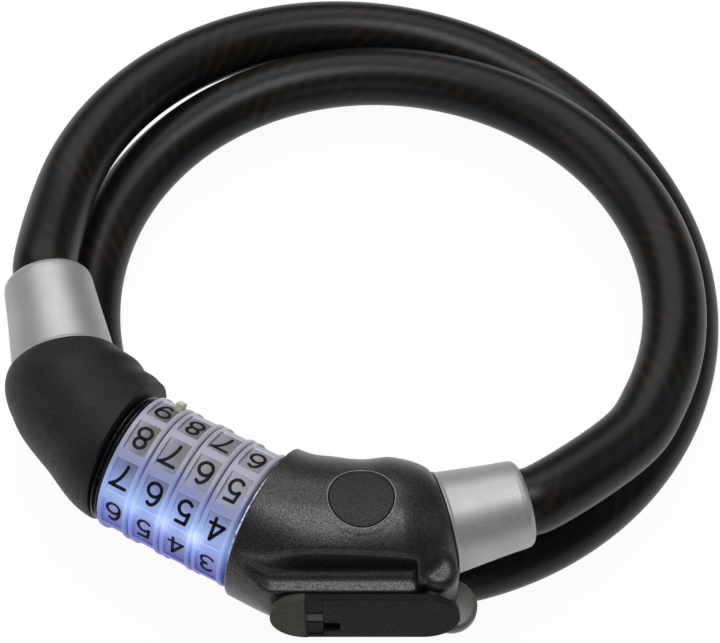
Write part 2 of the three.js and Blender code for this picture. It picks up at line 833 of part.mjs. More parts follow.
add(stack, "light_button", lightButton(), finish.housing);
add(plan, "button_spring", moved(buttonSpring(), ...buttonPlace, 0), finish.steel);
const board = rodZ(buttonDiameter / 2, buttonPocketFloor + gap, boardTop, 24);
add(plan, "circuit_board", moved(board, ...buttonPlace, 0), finish.board);
const [switchX, switchY] = switchSize.map((v) => v / 2);
const lightSwitch = box([-switchX, -switchY, boardTop + gap], [switchX, switchY, switchTop]);
add(plan, "light_switch", moved(lightSwitch, ...buttonPlace, 0), finish.steel);

const guide = tubeX(lightInner, lightOuter, stackHalf + gap / 2, lockFace + lightThick);
add(stack, "light_guide", guide, finish.lamp);
const lampX = lockFace + lightThick + gap;
lampAngles.forEach((angle, i) => {
  const r = (lightInner + lightOuter) / 2;
  const [y, z] = [r * Math.cos(rad(angle)), r * Math.sin(rad(angle))];
  const lamp = moved(rodX(lampDiameter / 2, lampX, lampX + lampHeight - gap, 12), 0, y, z);
  add(stack, `lamp_${i + 1}`, lamp, finish.lamp);
});
const lampBoardX = lampX + lampHeight;
add(stack, "lamp_board", tubeX(lightInner, lightOuter, lampBoardX, lampBoardX + boardThick), finish.board);

add(stack, "lock_barrel", lockBarrel(), finish.steel);
const barrelPin = rodZ(pinDiameter / 2, -pinFoot, barrelOuter / 2 - 0.2, 16);
add(stack, "barrel_pin", moved(barrelPin, lockFace + barrelPinAt, 0, 0), finish.steel);
add(stack, "end_collar", endCollar(), finish.collar);
for (let i = 0; i < dialCount; i++) {
  const wheel = dial(dialStagger * (i - (dialCount - 1) / 2));
  const whole = i === 0 ? wheel.add(dialTab()) : wheel;
  add(stack, `dial_${i + 1}`, moved(whole, dialX(i), 0, 0), finish.dial);
  add(stack, `code_ring_${i + 1}`, moved(codeRing(), dialX(i), 0, 0), finish.ring);
}

add(stack, "plug_housing", plugHousing(), finish.housing);
add(stack, "locking_bolt", lockingBolt(), finish.steel);
const boltPin = rodZ(pinDiameter / 2, -pinFoot + 1.5, boltDiameter / 2 + 2.2, 16);
add(stack, "bolt_pin", moved(boltPin, plugFace - boltPinAt, 0, 0), finish.steel);

for (const [side, end, length, radii, edge] of [
  ["lock", lockEnd, lockFerruleLength, lockFerruleRadii, lockMouthEdge],
  ["plug", plugEnd, plugFerruleLength, plugFerruleRadii, plugMouthEdge],
]) {
  add(stack, `${side}_ferrule`, inStack(ferrule(length, radii, edge), end), finish.ferrule);
  add(stack, `${side}_crimp`, inStack(crimp(length), end), finish.steel);
  add(stack, `${side}_crimp_pin`, inStack(crimpPin(), end), finish.steel);
}

add(plan, "cable_sheath", cableSheath(), finish.sheath);
add(plan, "cable_core", cableCore(), finish.steel);

export default lock;
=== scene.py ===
import bmesh
import bpy
import math
import numpy as np
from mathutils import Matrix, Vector


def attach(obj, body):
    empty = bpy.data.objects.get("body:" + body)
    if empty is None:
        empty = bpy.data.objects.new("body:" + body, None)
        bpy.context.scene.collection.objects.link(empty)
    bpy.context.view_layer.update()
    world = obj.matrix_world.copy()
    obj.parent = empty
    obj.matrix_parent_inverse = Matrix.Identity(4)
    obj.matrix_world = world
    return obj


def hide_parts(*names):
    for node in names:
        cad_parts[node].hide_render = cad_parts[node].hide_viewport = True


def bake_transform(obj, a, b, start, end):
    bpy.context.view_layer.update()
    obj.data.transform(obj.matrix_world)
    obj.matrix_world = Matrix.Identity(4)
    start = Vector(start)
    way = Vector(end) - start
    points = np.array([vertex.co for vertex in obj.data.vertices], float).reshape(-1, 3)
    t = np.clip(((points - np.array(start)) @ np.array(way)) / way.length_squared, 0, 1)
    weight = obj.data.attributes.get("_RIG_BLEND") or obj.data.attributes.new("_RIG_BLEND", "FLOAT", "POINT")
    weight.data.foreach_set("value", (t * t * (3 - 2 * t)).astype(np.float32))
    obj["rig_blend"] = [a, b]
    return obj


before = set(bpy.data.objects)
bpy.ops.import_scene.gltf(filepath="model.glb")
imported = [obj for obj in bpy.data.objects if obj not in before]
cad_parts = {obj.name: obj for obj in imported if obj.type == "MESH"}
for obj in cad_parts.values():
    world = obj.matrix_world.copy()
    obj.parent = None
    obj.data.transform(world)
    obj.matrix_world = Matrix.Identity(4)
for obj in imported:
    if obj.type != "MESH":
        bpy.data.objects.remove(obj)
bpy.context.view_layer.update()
mm = 0.001

# The coil's middle on the floor and the dial axis, in millimetres from the middle of the shoe's face.
layout = {
    "coilMiddle": (2.95, 88.5, -33.3),
    "stackMiddle": (-37.55, 30.5, -1.8),
    "stackHeading": -28.0,  # degrees about the upright
    "shoeTilt": 10.0,  # degrees that the shoe's face leans back
}
floorHeight = layout["coilMiddle"][2] * mm
a = math.radians(layout["stackHeading"])
stackTurn = np.array([[math.cos(a), -math.sin(a), 0], [math.sin(a), math.cos(a), 0], [0, 0, 1]])
a = math.radians(90 - layout["shoeTilt"])
shoeTurn = np.array([[1, 0, 0], [0, math.cos(a), -math.sin(a)], [0, math.sin(a), math.cos(a)]])


def rowFromPlan(points):  # from the coil's middle on the floor to the row's frame, in metres
    return (points + np.array(layout["coilMiddle"])) * mm


def rowFromStack(points):  # x along the dial axis towards the lock, y towards the coil, z up
    return (points @ stackTurn.T + np.array(layout["stackMiddle"])) * mm


def rowFromShoe(points):  # z leaves the shoe's face, y runs up it
    return points @ shoeTurn.T * mm


def addMesh(name, verts, faces, material, sharp=32.0):  # smooth, but for edges past the sharp angle
    mesh = bpy.data.meshes.new(name)
    mesh.from_pydata(np.asarray(verts, float).tolist(), [], faces)
    mesh.materials.append(material)
    mesh.polygons.foreach_set("use_smooth", [True] * len(mesh.polygons))
    mesh.update()
    mesh.set_sharp_from_angle(angle=math.radians(sharp))
    piece = bpy.data.objects.new(name, mesh)
    bpy.context.scene.collection.objects.link(piece)
    return piece


def circle(count):  # equal angles all round
    return np.arange(count) * 2 * math.pi / count


def gridFaces(rows, ring, wrap=False):  # a quad between each two points of a row and of the next
    here = np.arange(ring)
    after = (here + 1) % ring
    row = np.arange(rows if wrap else rows - 1)[:, None]
    low, high = row * ring, (row + 1) % rows * ring
    return np.stack([low + here, low + after, high + after, high + here], axis=-1).reshape(-1, 4)


# A grid of points, each row a closed ring.  With wrap the last row joins the first, and without
# it a fan closes each end.
def skin(name, grid, material, wrap=False, sharp=32.0):
    rows, ring = grid.shape[:2]
    verts = grid.reshape(-1, 3)
    faces = gridFaces(rows, ring, wrap).tolist()
    if not wrap:
        verts = np.vstack([verts, grid[0].mean(0), grid[-1].mean(0)])
        here, top = np.arange(ring), (rows - 1) * ring
        after = (here + 1) % ring
        first = np.stack([np.full(ring, rows * ring), after, here], axis=-1)
        last = np.stack([np.full(ring, rows * ring + 1), top + here, top + after], axis=-1)
        faces += np.stack([first, last], axis=1).reshape(-1, 3).tolist()
    return addMesh(name, verts, faces, material, sharp)


# Turned piece: a profile of (along, radius) carried round the X axis of a frame.
def turned(name, profile, place, material, sides, wrap=False, sharp=40.0):
    along, radius = np.array(profile, float).T[:, :, None]
    a = circle(sides)
    grid = np.stack(np.broadcast_arrays(along, radius * np.cos(a), radius * np.sin(a)), axis=-1)
    return skin(name, place(grid), material, wrap, sharp)


def newMaterial(name):  # the material, its node tree and its main shader
    m = bpy.data.materials.new(name)
    m.use_nodes = True
    return m, m.node_tree, m.node_tree.nodes["Principled BSDF"]


def setInputs(tree, node, inputs):  # another node's socket is linked, a plain value is set
    for key, value in inputs.items():
        if isinstance(value, bpy.types.NodeSocket):
            tree.links.new(value, node.inputs[key])
        else:
            node.inputs[key].default_value = value


def addNode(tree, kind, inputs=None, **settings):  # gives the new node's outputs
    node = tree.nodes.new("ShaderNode" + kind)
    for key, value in settings.items():
        setattr(node, key, value)
    setInputs(tree, node, inputs or {})
    return node.outputs


def objectPoint(tree):  # the place in the piece's own frame
    return addNode(tree, "TexCoord")["Object"]


def compute(tree, operation, *values):  # one sum or product of sockets and numbers
    return addNode(tree, "Math", dict(enumerate(values)), operation=operation)["Value"]


def mixColours(tree, blend, share, one, two):  # two laid over one by the blend mode
    inputs = {"Factor": share, "A": one, "B": two}
    return addNode(tree, "Mix", inputs, data_type="RGBA", blend_type=blend)["Result"]


def noise(tree, source, scale, detail=3.0, roughness=0.55):  # soft random values, 0 to 1
    inputs = {"Vector": source, "Scale": scale, "Detail": detail, "Roughness": roughness}
    return addNode(tree, "TexNoise", inputs)["Fac"]


def ramp(tree, source, stops):  # a straight blend from each stop's colour to the next one's
    r = tree.nodes.new("ShaderNodeValToRGB")
    while len(r.color_ramp.elements) < len(stops):
        r.color_ramp.elements.new(0.5)
    for element, (at, colour) in zip(r.color_ramp.elements, stops):
        element.position = at
        element.color = (*colour, 1)
    tree.links.new(source, r.inputs["Fac"])
    return r.outputs["Color"]


def spread(tree, source, low, high, fromLow=0.3, fromHigh=0.7):  # low at fromLow, high at fromHigh
    inputs = {"Value": source, "From Min": fromLow, "From Max": fromHigh, "To Min": low, "To Max": high}
    return addNode(tree, "MapRange", inputs)["Result"]


def bump(tree, height, strength, distance):  # tilts the surface by the height's slope
    return addNode(tree, "Bump", {"Height": height, "Strength": strength, "Distance": distance})["Normal"]


def mouldedPlastic(
    name, dark, light, roughness, gloss, grain=3000.0, grainDepth=0.00010, specks=(0.4, 1.7),
    uneven=0.10, glints=0.0,
):
    # Two tones in broad patches with a fine speckle over them, and a grained surface.
    m, tree, shader = newMaterial(name)
    source = objectPoint(tree)
    fine = noise(tree, source, grain, 2.0, 0.6)
    glint = noise(tree, source, grain * 1.15, 1.0, 0.5)
    tone = ramp(tree, noise(tree, source, 60.0, 4.0), [(0.3, dark), (0.75, light)])
    speckle = ramp(tree, fine, [(0.34, (specks[0],) * 3), (0.66, (specks[1],) * 3)])
    setInputs(tree, shader, {
        "Base Color": mixColours(tree, "MULTIPLY", 1.0, tone, speckle),
        "Roughness": spread(tree, glint, roughness - uneven, roughness + 1.5 * uneven, 0.36, 0.64),
        "Specular IOR Level": gloss,
        "Normal": bump(tree, fine, 0.8, grainDepth),
    })
    if glints:  # shiny grains, as a thin coat here and there
        coat = spread(tree, glint, 0.0, glints, 0.38, 0.66)
        setInputs(tree, shader, {"Coat Weight": coat, "Coat Roughness": 0.34})
    return m


def satinMetal(name, dark, light, roughness, metallic):  # two tones in patches, with a faint grain
    m, tree, shader = newMaterial(name)
    source = objectPoint(tree)
    fine = noise(tree, source, 2600.0, 2.0, 0.6)
    setInputs(tree, shader, {
        "Base Color": ramp(tree, noise(tree, source, 90.0, 4.0), [(0.3, dark), (0.7, light)]),
        "Roughness": spread(tree, fine, roughness - 0.06, roughness + 0.08),
        "Metallic": metallic,
        "Normal": bump(tree, fine, 0.5, 0.00004),
    })
    return m


flat = {"grainDepth": 0.00001}
even = {**flat, "specks": (0.93, 1.07), "uneven": 0.03}
glassy = {**flat, "grain": 900.0}
plasticLooks = {  # dark tone, light tone, roughness, gloss, and what differs from the usual grain
    "black": ((0.0060, 0.0060, 0.0052), (0.0088, 0.0088, 0.0078), 0.40, 0.28, {"glints": 1.0}),
    "plug": ((0.0066, 0.0068, 0.0056), (0.0095, 0.0097, 0.0084), 0.50, 0.22, {}),
    "shoe": ((0.0085, 0.0087, 0.0074), (0.0125, 0.0128, 0.0110), 0.55, 0.08, {}),
    "cap": ((0.044, 0.045, 0.036), (0.056, 0.057, 0.047), 0.55, 0.1, {"specks": (0.6, 1.4)}),
    "catch": ((0.030, 0.030, 0.026), (0.042, 0.042, 0.036), 0.45, 0.2, {}),
    "lid": ((0.075, 0.076, 0.067), (0.10, 0.101, 0.090), 0.32, 0.4, even),
    "button": ((0.0125, 0.0125, 0.0120), (0.017, 0.017, 0.016), 0.52, 0.25, {}),
    # pale grey on the button's raised, glossy lip: a painted highlight round it, where the lip also catches
    # real light
    "lip": ((0.13, 0.13, 0.125), (0.17, 0.17, 0.165), 0.22, 0.5, flat),
    "collar": ((0.005, 0.005, 0.006), (0.008, 0.008, 0.009), 0.20, 0.4, glassy),
    "board": ((0.012, 0.09, 0.03), (0.02, 0.13, 0.05), 0.4, 0.3, {"grain": 1200.0}),
    "ink": ((0.006, 0.006, 0.010), (0.009, 0.009, 0.014), 0.55, 0.1, {"grain": 2000.0, "grainDepth": 5e-6}),
    # near black: painted shade for the key hole's floor and behind the catch
    "paintedShade": ((0.0012, 0.0012, 0.0012), (0.002, 0.002, 0.002), 0.8, 0.05, {}),
    "lamp": ((0.60, 0.64, 0.76), (0.70, 0.75, 0.88), 0.25, 0.3, glassy),
    "tab": ((0.36, 0.36, 0.25), (0.50, 0.50, 0.38), 0.3, 0.3, {**even, **glassy, "specks": (0.9, 1.1)}),
}
metalLooks = {  # dark tone, light tone, roughness, metallic share
    "ferrule": ((0.38, 0.38, 0.385), (0.44, 0.44, 0.445), 0.48, 0.75),
    "steel": ((0.42, 0.42, 0.44), (0.55, 0.55, 0.57), 0.30, 1.0),
    "brass": ((0.50, 0.34, 0.13), (0.62, 0.45, 0.20), 0.32, 1.0),
}
plastic = {key: mouldedPlastic(key + "Plastic", *look[:-1], **look[-1]) for key, look in plasticLooks.items()}
metal = {key: satinMetal(key + "Metal", *look) for key, look in metalLooks.items()}
print("materials made")

cameraLook = {
    "place": (-1.05, -145.2, 381.4),  # mm
    "pitch": 29.751,  # degrees from straight down
    "focalPixels": 1897.7,
    "frameWidth": 720,
    "sensorWidth": 36.0,  # mm
    "clip": (0.01, 20),  # metres
}
camera = bpy.data.objects.new("photoCamera", bpy.data.cameras.new("photoCamera"))
bpy.context.scene.collection.objects.link(camera)
camera.location = [v * mm for v in cameraLook["place"]]
camera.rotation_euler = (math.radians(cameraLook["pitch"]), 0, 0)
camera.data.sensor_fit = "HORIZONTAL"
camera.data.sensor_width = cameraLook["sensorWidth"]
camera.data.lens = cameraLook["sensorWidth"] * cameraLook["focalPixels"] / cameraLook["frameWidth"]
camera.data.clip_start, camera.data.clip_end = cameraLook["clip"]
bpy.context.scene.camera = camera

# The dial stack and the housings' bent axes, in the stack's frame.
stack = {
    "dialCount": 4,
    "pitch": 7.9,
    "gap": 0.3,
    "litStrip": 1.2,
    "collarLength": 2.2,
    "collarRadius": 15.0,
    "collarBore": 8.7,  # lets the bolt's lugs through
    "dialRadius": 15.75,
    "dialBore": 10.5,
}
bends = {  # millimetres to the elbow and past it, and degrees that it turns
    "lock": {"elbow": 32, "leg": 27.2, "turn": 43.5},
    "plug": {"elbow": 30.3, "leg": 18.1, "turn": 47.5},
}
stackHalf = stack["dialCount"] * stack["pitch"] / 2
lockFace = stackHalf + stack["litStrip"]
collarFace = -stackHalf - stack["gap"] / 2
plugFace = collarFace - stack["collarLength"] - stack["gap"]


def runAlong(line, power=1.0):  # up to each point, the sum of the spans, each to the power
    return np.concatenate([[0], np.cumsum(np.linalg.norm(np.diff(line, axis=0), axis=1) ** power)])


class BentAxis:  # a quadratic curve from the dials round an elbow, sampled by its length
    def __init__(self, start, elbow, leg, turn, side, samples=600):
        a = math.radians(turn)
        self.p0 = np.array([side * start, 0.0])
        self.p1 = np.array([side * elbow, 0.0])
        self.p2 = np.array([side * (elbow + leg * math.cos(a)), leg * math.sin(a)])
        self.t = np.linspace(0, 1, samples)
        self.run = runAlong(self.point(self.t))
        self.length = self.run[-1]

    def point(self, t):
        t = np.asarray(t)[..., None]
        return (1 - t) ** 2 * self.p0 + 2 * t * (1 - t) * self.p1 + t * t * self.p2

    def at(self, s):  # point and heading at a share s of the length
        t = np.interp(np.asarray(s) * self.length, self.run, self.t)
        u = t[..., None]
        v = 2 * (1 - u) * (self.p1 - self.p0) + 2 * u * (self.p2 - self.p1)
        return self.point(t), v / np.linalg.norm(v, axis=-1, keepdims=True)


lockAxis = BentAxis(lockFace, **bends["lock"], side=1)
plugAxis = BentAxis(-plugFace, **bends["plug"], side=-1)


def rowFromEnd(axis):  # +X leaves the housing along its ferrule
    p, v = axis.at(np.array(1.0))

    def place(points):
        x = p[0] + points[..., 0] * v[0] - points[..., 1] * v[1]
        y = p[1] + points[..., 0] * v[1] + points[..., 1] * v[0]
        return rowFromStack(np.stack([x, y, points[..., 2]], axis=-1))

    return place


lockEnd = rowFromEnd(lockAxis)
plugEnd = rowFromEnd(plugAxis)
ferrule = {"lockLength": 18.9, "plugLength": 23.8}

# The cable comes down from the lock ferrule, lies half a turn on the floor and climbs outside to
# the plug.  Places along it are degrees about the coil's middle.
cable = {
    "diameter": 15.0,
    "sides": 64,
    "flat": 1.5,  # pressed off on the floor
    "inFerrule": 12.0,
    "radius": 69.3,
    "growth": 16.2, "growthAt": 448, "growthOver": 157,
    "oval": 2.45, "ovalAt": 153,
    "start": -36, "end": 522, "step": 9, "spanSteps": 8,
    "rampHeight": 23.5, "downEnd": 205, "downOver": 267, "upStart": 393, "upOver": 152, "upPower": 1.06,
    "bendRun": 0.30, "stiffEnd": 0.04,  # metres that give way to the plug, and that go with it
}


def coilPoints(degrees):
    # The radius swells by a cosine plus an oval; the height is a straight ramp down and a curved one up.
    swing = np.clip((degrees - cable["growthAt"]) / cable["growthOver"], -1, 1)
    r = cable["radius"] + cable["growth"] * (1 + np.cos(np.pi * swing)) / 2
    r = r + cable["oval"] * np.cos(2 * np.radians(degrees - cable["ovalAt"]))
    down = np.clip((cable["downEnd"] - degrees) / cable["downOver"], 0, 1)
    up = np.clip((degrees - cable["upStart"]) / cable["upOver"], 0, 1)
    z = cable["diameter"] / 2 - cable["flat"] + cable["rampHeight"] * (down + up ** cable["upPower"])
    a = np.radians(degrees)
    return rowFromPlan(np.stack([r * np.cos(a), r * np.sin(a), z], -1))


def between(u, low, high, one, two):  # one at low, two at high, straight between them
    return (high - u) / (high - low) * one + (u - low) / (high - low) * two


def smoothLine(points, each):  # a centripetal curve through the points, each steps a span
    p = np.vstack([2 * points[0] - points[1], points, 2 * points[-1] - points[-2]])
    out = []
    for k in range(1, len(p) - 2):
        q = p[k - 1 : k + 3]
        t = runAlong(q, 0.5)
        u = np.linspace(t[1], t[2], each, endpoint=False)[:, None]
        a = [between(u, t[i], t[i + 1], q[i], q[i + 1]) for i in range(3)]
        b = [between(u, t[i], t[i + 2], a[i], a[i + 1]) for i in range(2)]
        out.append(between(u, t[1], t[2], b[0], b[1]))
    return np.vstack(out + [points[-1][None]])


endStops = np.array([(-cable["inFerrule"], 0, 0), (0, 0, 0), (3, 0, 0)])
lockStops = lockEnd(endStops + (ferrule["lockLength"], 0, 0))
plugStops = plugEnd(endStops + (ferrule["plugLength"], 0, 0))
turns = coilPoints(np.arange(cable["start"], cable["end"] + 1, cable["step"]).astype(float))
cableLine = smoothLine(np.vstack([lockStops, turns, plugStops[::-1]]), cable["spanSteps"])
cableRun = runAlong(cableLine)
sheathLook = {
    "twist": 210.0,  # turns a metre
    "strands": 9.0,
    "dark": (0.0048, 0.0052, 0.0042),
    "strand": (0.021, 0.0105, 0.0085),
}


def sheathMaterial():  # smoky black sheath; the twisted strands show faintly through it
    m, tree, shader = newMaterial("cableSheath")
    split = addNode(tree, "SeparateXYZ", {"Vector": addNode(tree, "UVMap", uv_map="alongRound")["UV"]})
    around = compute(tree, "MULTIPLY", split["Y"], sheathLook["strands"])
    lay = compute(tree, "MULTIPLY_ADD", split["X"], sheathLook["twist"], around)
    wave = compute(tree, "SINE", compute(tree, "MULTIPLY", lay, 2 * math.pi))
    source = objectPoint(tree)
    clear = spread(tree, noise(tree, source, 55.0), 0.0, 1.0, 0.42, 0.68)  # in patches only
    strands = compute(tree, "MULTIPLY", clear, spread(tree, wave, 0.0, 1.0, -0.2, 1.0))
    fine = noise(tree, source, 1500.0, 2.0)
    setInputs(tree, shader, {
        "Base Color": ramp(tree, strands, [(0.0, sheathLook["dark"]), (1.0, sheathLook["strand"])]),
        "Roughness": spread(tree, fine, 0.30, 0.40),
        "Specular IOR Level": 0.19,
        "Normal": bump(tree, fine, 0.12, 0.00002),
    })
    return m


def buildCable():  # a round section carried along the line, pressed flat on the floor
    sides, rows = cable["sides"], len(cableLine)
    heading = np.gradient(cableLine, axis=0)
    heading /= np.linalg.norm(heading, axis=1, keepdims=True)
    side = np.stack([-heading[:, 1], heading[:, 0], 0 * heading[:, 0]], axis=-1)
    side /= np.linalg.norm(side, axis=1, keepdims=True)
    up = np.cross(heading, side)
    a = circle(sides)[None, :, None]
    r = cable["diameter"] / 2 * mm
    grid = cableLine[:, None] + r * (np.cos(a) * side[:, None] + np.sin(a) * up[:, None])
    grid[:, :, 2] = np.maximum(grid[:, :, 2], floorHeight)
    piece = skin("cableSheath", grid, sheathMaterial(), sharp=60)
    layer = piece.data.uv_layers.new(name="alongRound")
    loops = np.empty(len(piece.data.loops), int)
    piece.data.loops.foreach_get("vertex_index", loops)
    column = loops % sides
    quads = (rows - 1) * sides * 4  # their corners come first; a ring's last quad ends on 1, not 0
    lastQuad = np.tile(np.repeat(np.arange(sides) == sides - 1, 4), rows - 1)
    column[:quads] += sides * (lastQuad & (column[:quads] == 0))
    uv = np.stack([cableRun[np.minimum(loops // sides, rows - 1)], column / sides], axis=-1)
    layer.data.foreach_set("uv", uv.astype(np.float32).ravel())
    return piece


def smoothStep(t):  # 0 to 1, level at both ends
    return t * t * (3 - 2 * t)


cablePiece = buildCable()
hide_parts("cable_sheath", "cable_core")
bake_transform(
    cablePiece, "root", "plug",
    start=tuple(cableLine[-1] + np.array([0.02, 0.0, 0])), end=tuple(cableLine[-1]),
)
weights = cablePiece.data.attributes["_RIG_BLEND"]  # by length along the cable, not by place
intoBend = cableRun - (cableRun[-1] - cable["bendRun"])
rowWeight = smoothStep(np.clip(intoBend / (cable["bendRun"] - cable["stiffEnd"]), 0, 1))
vertexWeight = np.concatenate([np.repeat(rowWeight, cable["sides"]), [rowWeight[0], rowWeight[-1]]])
weights.data.foreach_set("value", vertexWeight.astype(np.float32))
print("cable made,", round(float(cableRun[-1]), 4), "m")

# The lock housing's skin and what is cut from it and joined to it, in millimetres.
lockForm = {
    "inner": (18.6, 18.3, 17.0, 16.4),  # radii towards the coil, from the dials to the shoulder
    "up": (17.7, 17.6, 17.1, 16.4),
    "outer": (16.8, 19.6, 18.6, 16.4),
    "shoulder": 10.0,
    "endRadius": 11.7,
    "shoulderPower": 1.6,
    "faceEdge": 0.35,
    "front": -3.0,  # the flat front, in the shoe's frame
    "frontBlend": 0.5,
    "shelf": (-19.0, 5.6, -7.2),  # where it is whole: x, height, flank
    "shelfFade": (-29.2, 9.6, -8.85),  # where it has faded out at the dials
    "shelfFillet": 2.4,
    "shelfSlope": 0.25,  # its top falls this much towards the front
    "shelfRight": 11.0,
    "shelfRightBlend": 0.5,
    "shelfBlend": 0.9,
    "knuckle": (12.6, -80.2),  # in the plan
    "knuckleRadius": 4.5,
    "knuckleSpan": (24.6, 41.0),
    "knuckleRoot": 6,  # the post is this much longer, then cut off flat
    "knuckleEdge": 2.5,
    "knuckleBlend": 1.8,
    "boreRadius": 6.0,
    "boreEnd": 34.3,
}
plugForm = {
    "inner": (18.4, 18.6, 17.0, 14.6),
    "up": (17.2, 16.6, 15.6, 14.4),
    "outer": (15.2, 13.2, 14.4, 15.2),
    "shoulder": 7.0,
    "endRadius": 12.6,
    "shoulderPower": 1.6,
    "faceEdge": 0.35,
    "boreRadius": 4.0,
    "boreEnd": -31.5,
}
# The light button: its edge (in from the rim, height) and its lip (out from the gap, height).  A
# height is over the skin, or over the floor where it is more than overGround.
button = {
    "place": (-3.7, -66.9),  # in the plan
    "diameter": 13.8,
    "gap": 0.16,
    "seat": 2.2,
    "pocket": 42.0,  # its floor over the ground
    "pocketMore": 1.2,  # past the gap, under the seat
    "edge": ((0.2, -0.045), (0.09, -0.09), (0.02, -0.17), (0.0, -0.3), (0.0, -1.3), (0.5, -1.6)),
    "lip": (
        (0.0, 44.0), (0.0, -0.1), (0.03, 0.03), (0.1, 0.09), (0.2, 0.10), (0.28, 0.06), (0.32, -0.02),
        (0.32, -0.3), (0.12, 44.0),
    ),
    "overGround": 20,
    "fitRadius": 10.5, "fitAbove": 40, "fitDegree": 6, "fitScale": 10,
}


def bandRadius(form, key, s, length):
    # Smooth steps from one listed radius to the next, then a rounded fall to the end radius.
    radii = np.array(form[key])
    along = np.clip(s, 0, 1) * (len(radii) - 1)
    i = np.minimum(along.astype(int), len(radii) - 2)
    plain = radii[i] + (radii[i + 1] - radii[i]) * smoothStep(along - i)
    into = np.clip((s * length - (length - form["shoulder"])) / form["shoulder"], 0, 1)
    power = form["shoulderPower"]
    fall = (1 - into**power) ** (1 / power)
    return form["endRadius"] + (plain - form["endRadius"]) * fall


def smoothMax(a, b, k):  # the greater one, raised by up to k / 4 where the two are within k
    h = np.clip(0.5 + 0.5 * (a - b) / k, 0, 1)
    return b + (a - b) * h + k * h * (1 - h)


def smoothMin(a, b, k):  # likewise the smaller one
    return -smoothMax(-a, -b, k)


def stackToPlan(p):  # both in millimetres
    return rowFromStack(p) / mm - np.array(layout["coilMiddle"])


def stackToShoe(p):  # both in millimetres
    return rowFromStack(p) / mm @ shoeTurn


def shelfField(p):  # positive in the hollow over the shelf and before the flank, round where they meet
    x, y, z = p[..., 0], p[..., 1], p[..., 2]
    x1, y1, z1 = lockForm["shelf"]
    x0, y0, z0 = lockForm["shelfFade"]
    t = smoothStep(np.clip((x - x0) / (x1 - x0), 0, 1))
    out = z - (z0 + (z1 - z0) * t)
    above = y - (y0 + (y1 - y0) * t) - lockForm["shelfSlope"] * (lockForm["front"] - z)
    r = lockForm["shelfFillet"]
    corner = r - np.hypot(np.maximum(r - out, 0), np.maximum(r - above, 0))
    inside = np.where((out < r) & (above < r), corner, np.minimum(out, above))
    return smoothMin(inside, lockForm["shelfRight"] - x, lockForm["shelfRightBlend"])


def knuckleField(p):  # distance to the upright round post of the battery bay
    x, y = lockForm["knuckle"]
    low, high = lockForm["knuckleSpan"]
    edge, root = lockForm["knuckleEdge"], lockForm["knuckleRoot"]
    d = np.hypot(p[..., 0] - x, p[..., 1] - y) - lockForm["knuckleRadius"] + edge
    z = np.abs(p[..., 2] - (low - root + high) / 2) - (high - low + root) / 2 + edge
    whole = np.minimum(np.maximum(d, z), 0) + np.hypot(np.maximum(d, 0), np.maximum(z, 0)) - edge
    return np.maximum(whole, low - p[..., 2])


def lockExtras(skinField, p):  # the plain skin with its flat front, shelf and knuckle
    inShoe = stackToShoe(p)
    f = smoothMax(skinField, inShoe[..., 2] - lockForm["front"], lockForm["frontBlend"])
    f = smoothMax(f, shelfField(inShoe), lockForm["shelfBlend"])
    return smoothMin(f, knuckleField(stackToPlan(p)), lockForm["knuckleBlend"])


march = {"from": 8.0, "to": 31.0, "step": 0.3, "nudge": 0.02, "most": 0.15}  # millimetres along a ray


def lastCrossing(field, plain, centre, direction):
    # The greatest length at which each ray leaves the form, found in equal steps, then moved three
    # times by the field over its slope.
    step, nudge, most = march["step"], march["nudge"], march["most"]
    reach = np.full(plain.shape, march["from"])
    before = None
    for r in np.arange(march["from"], march["to"], step):
        f = field(r - plain, centre + direction * r)
        if before is not None:
            leaving = (before < 0) & (f >= 0)
            reach = np.where(leaving, r - step + step * before / (before - f - 1e-12), reach)
        before = f
    for _ in range(3):
        f = field(reach - plain, centre + direction * reach[..., None])
        g = field(reach + nudge - plain, centre + direction * (reach + nudge)[..., None])
        slope = np.clip((g - f) / nudge, 0.4, 2.5)
        reach = reach - np.clip(f / slope, -most, most)
    return reach


def pocketed(reach, skinRows, direction):  # rays round the light button stop at its pocket's floor
    inPlan = stackToPlan(skinRows)
    away = np.hypot(inPlan[..., 0] - button["place"][0], inPlan[..., 1] - button["place"][1])
    wide = button["diameter"] / 2 + button["gap"] + button["pocketMore"]
    rise = direction[..., 2]
    floorUp = button["pocket"] + layout["coilMiddle"][2] - layout["stackMiddle"][2]
    shorter = np.minimum(reach, floorUp / np.maximum(rise, 0.2))
    return np.where((away < wide) & (rise > 0.5), shorter, reach)


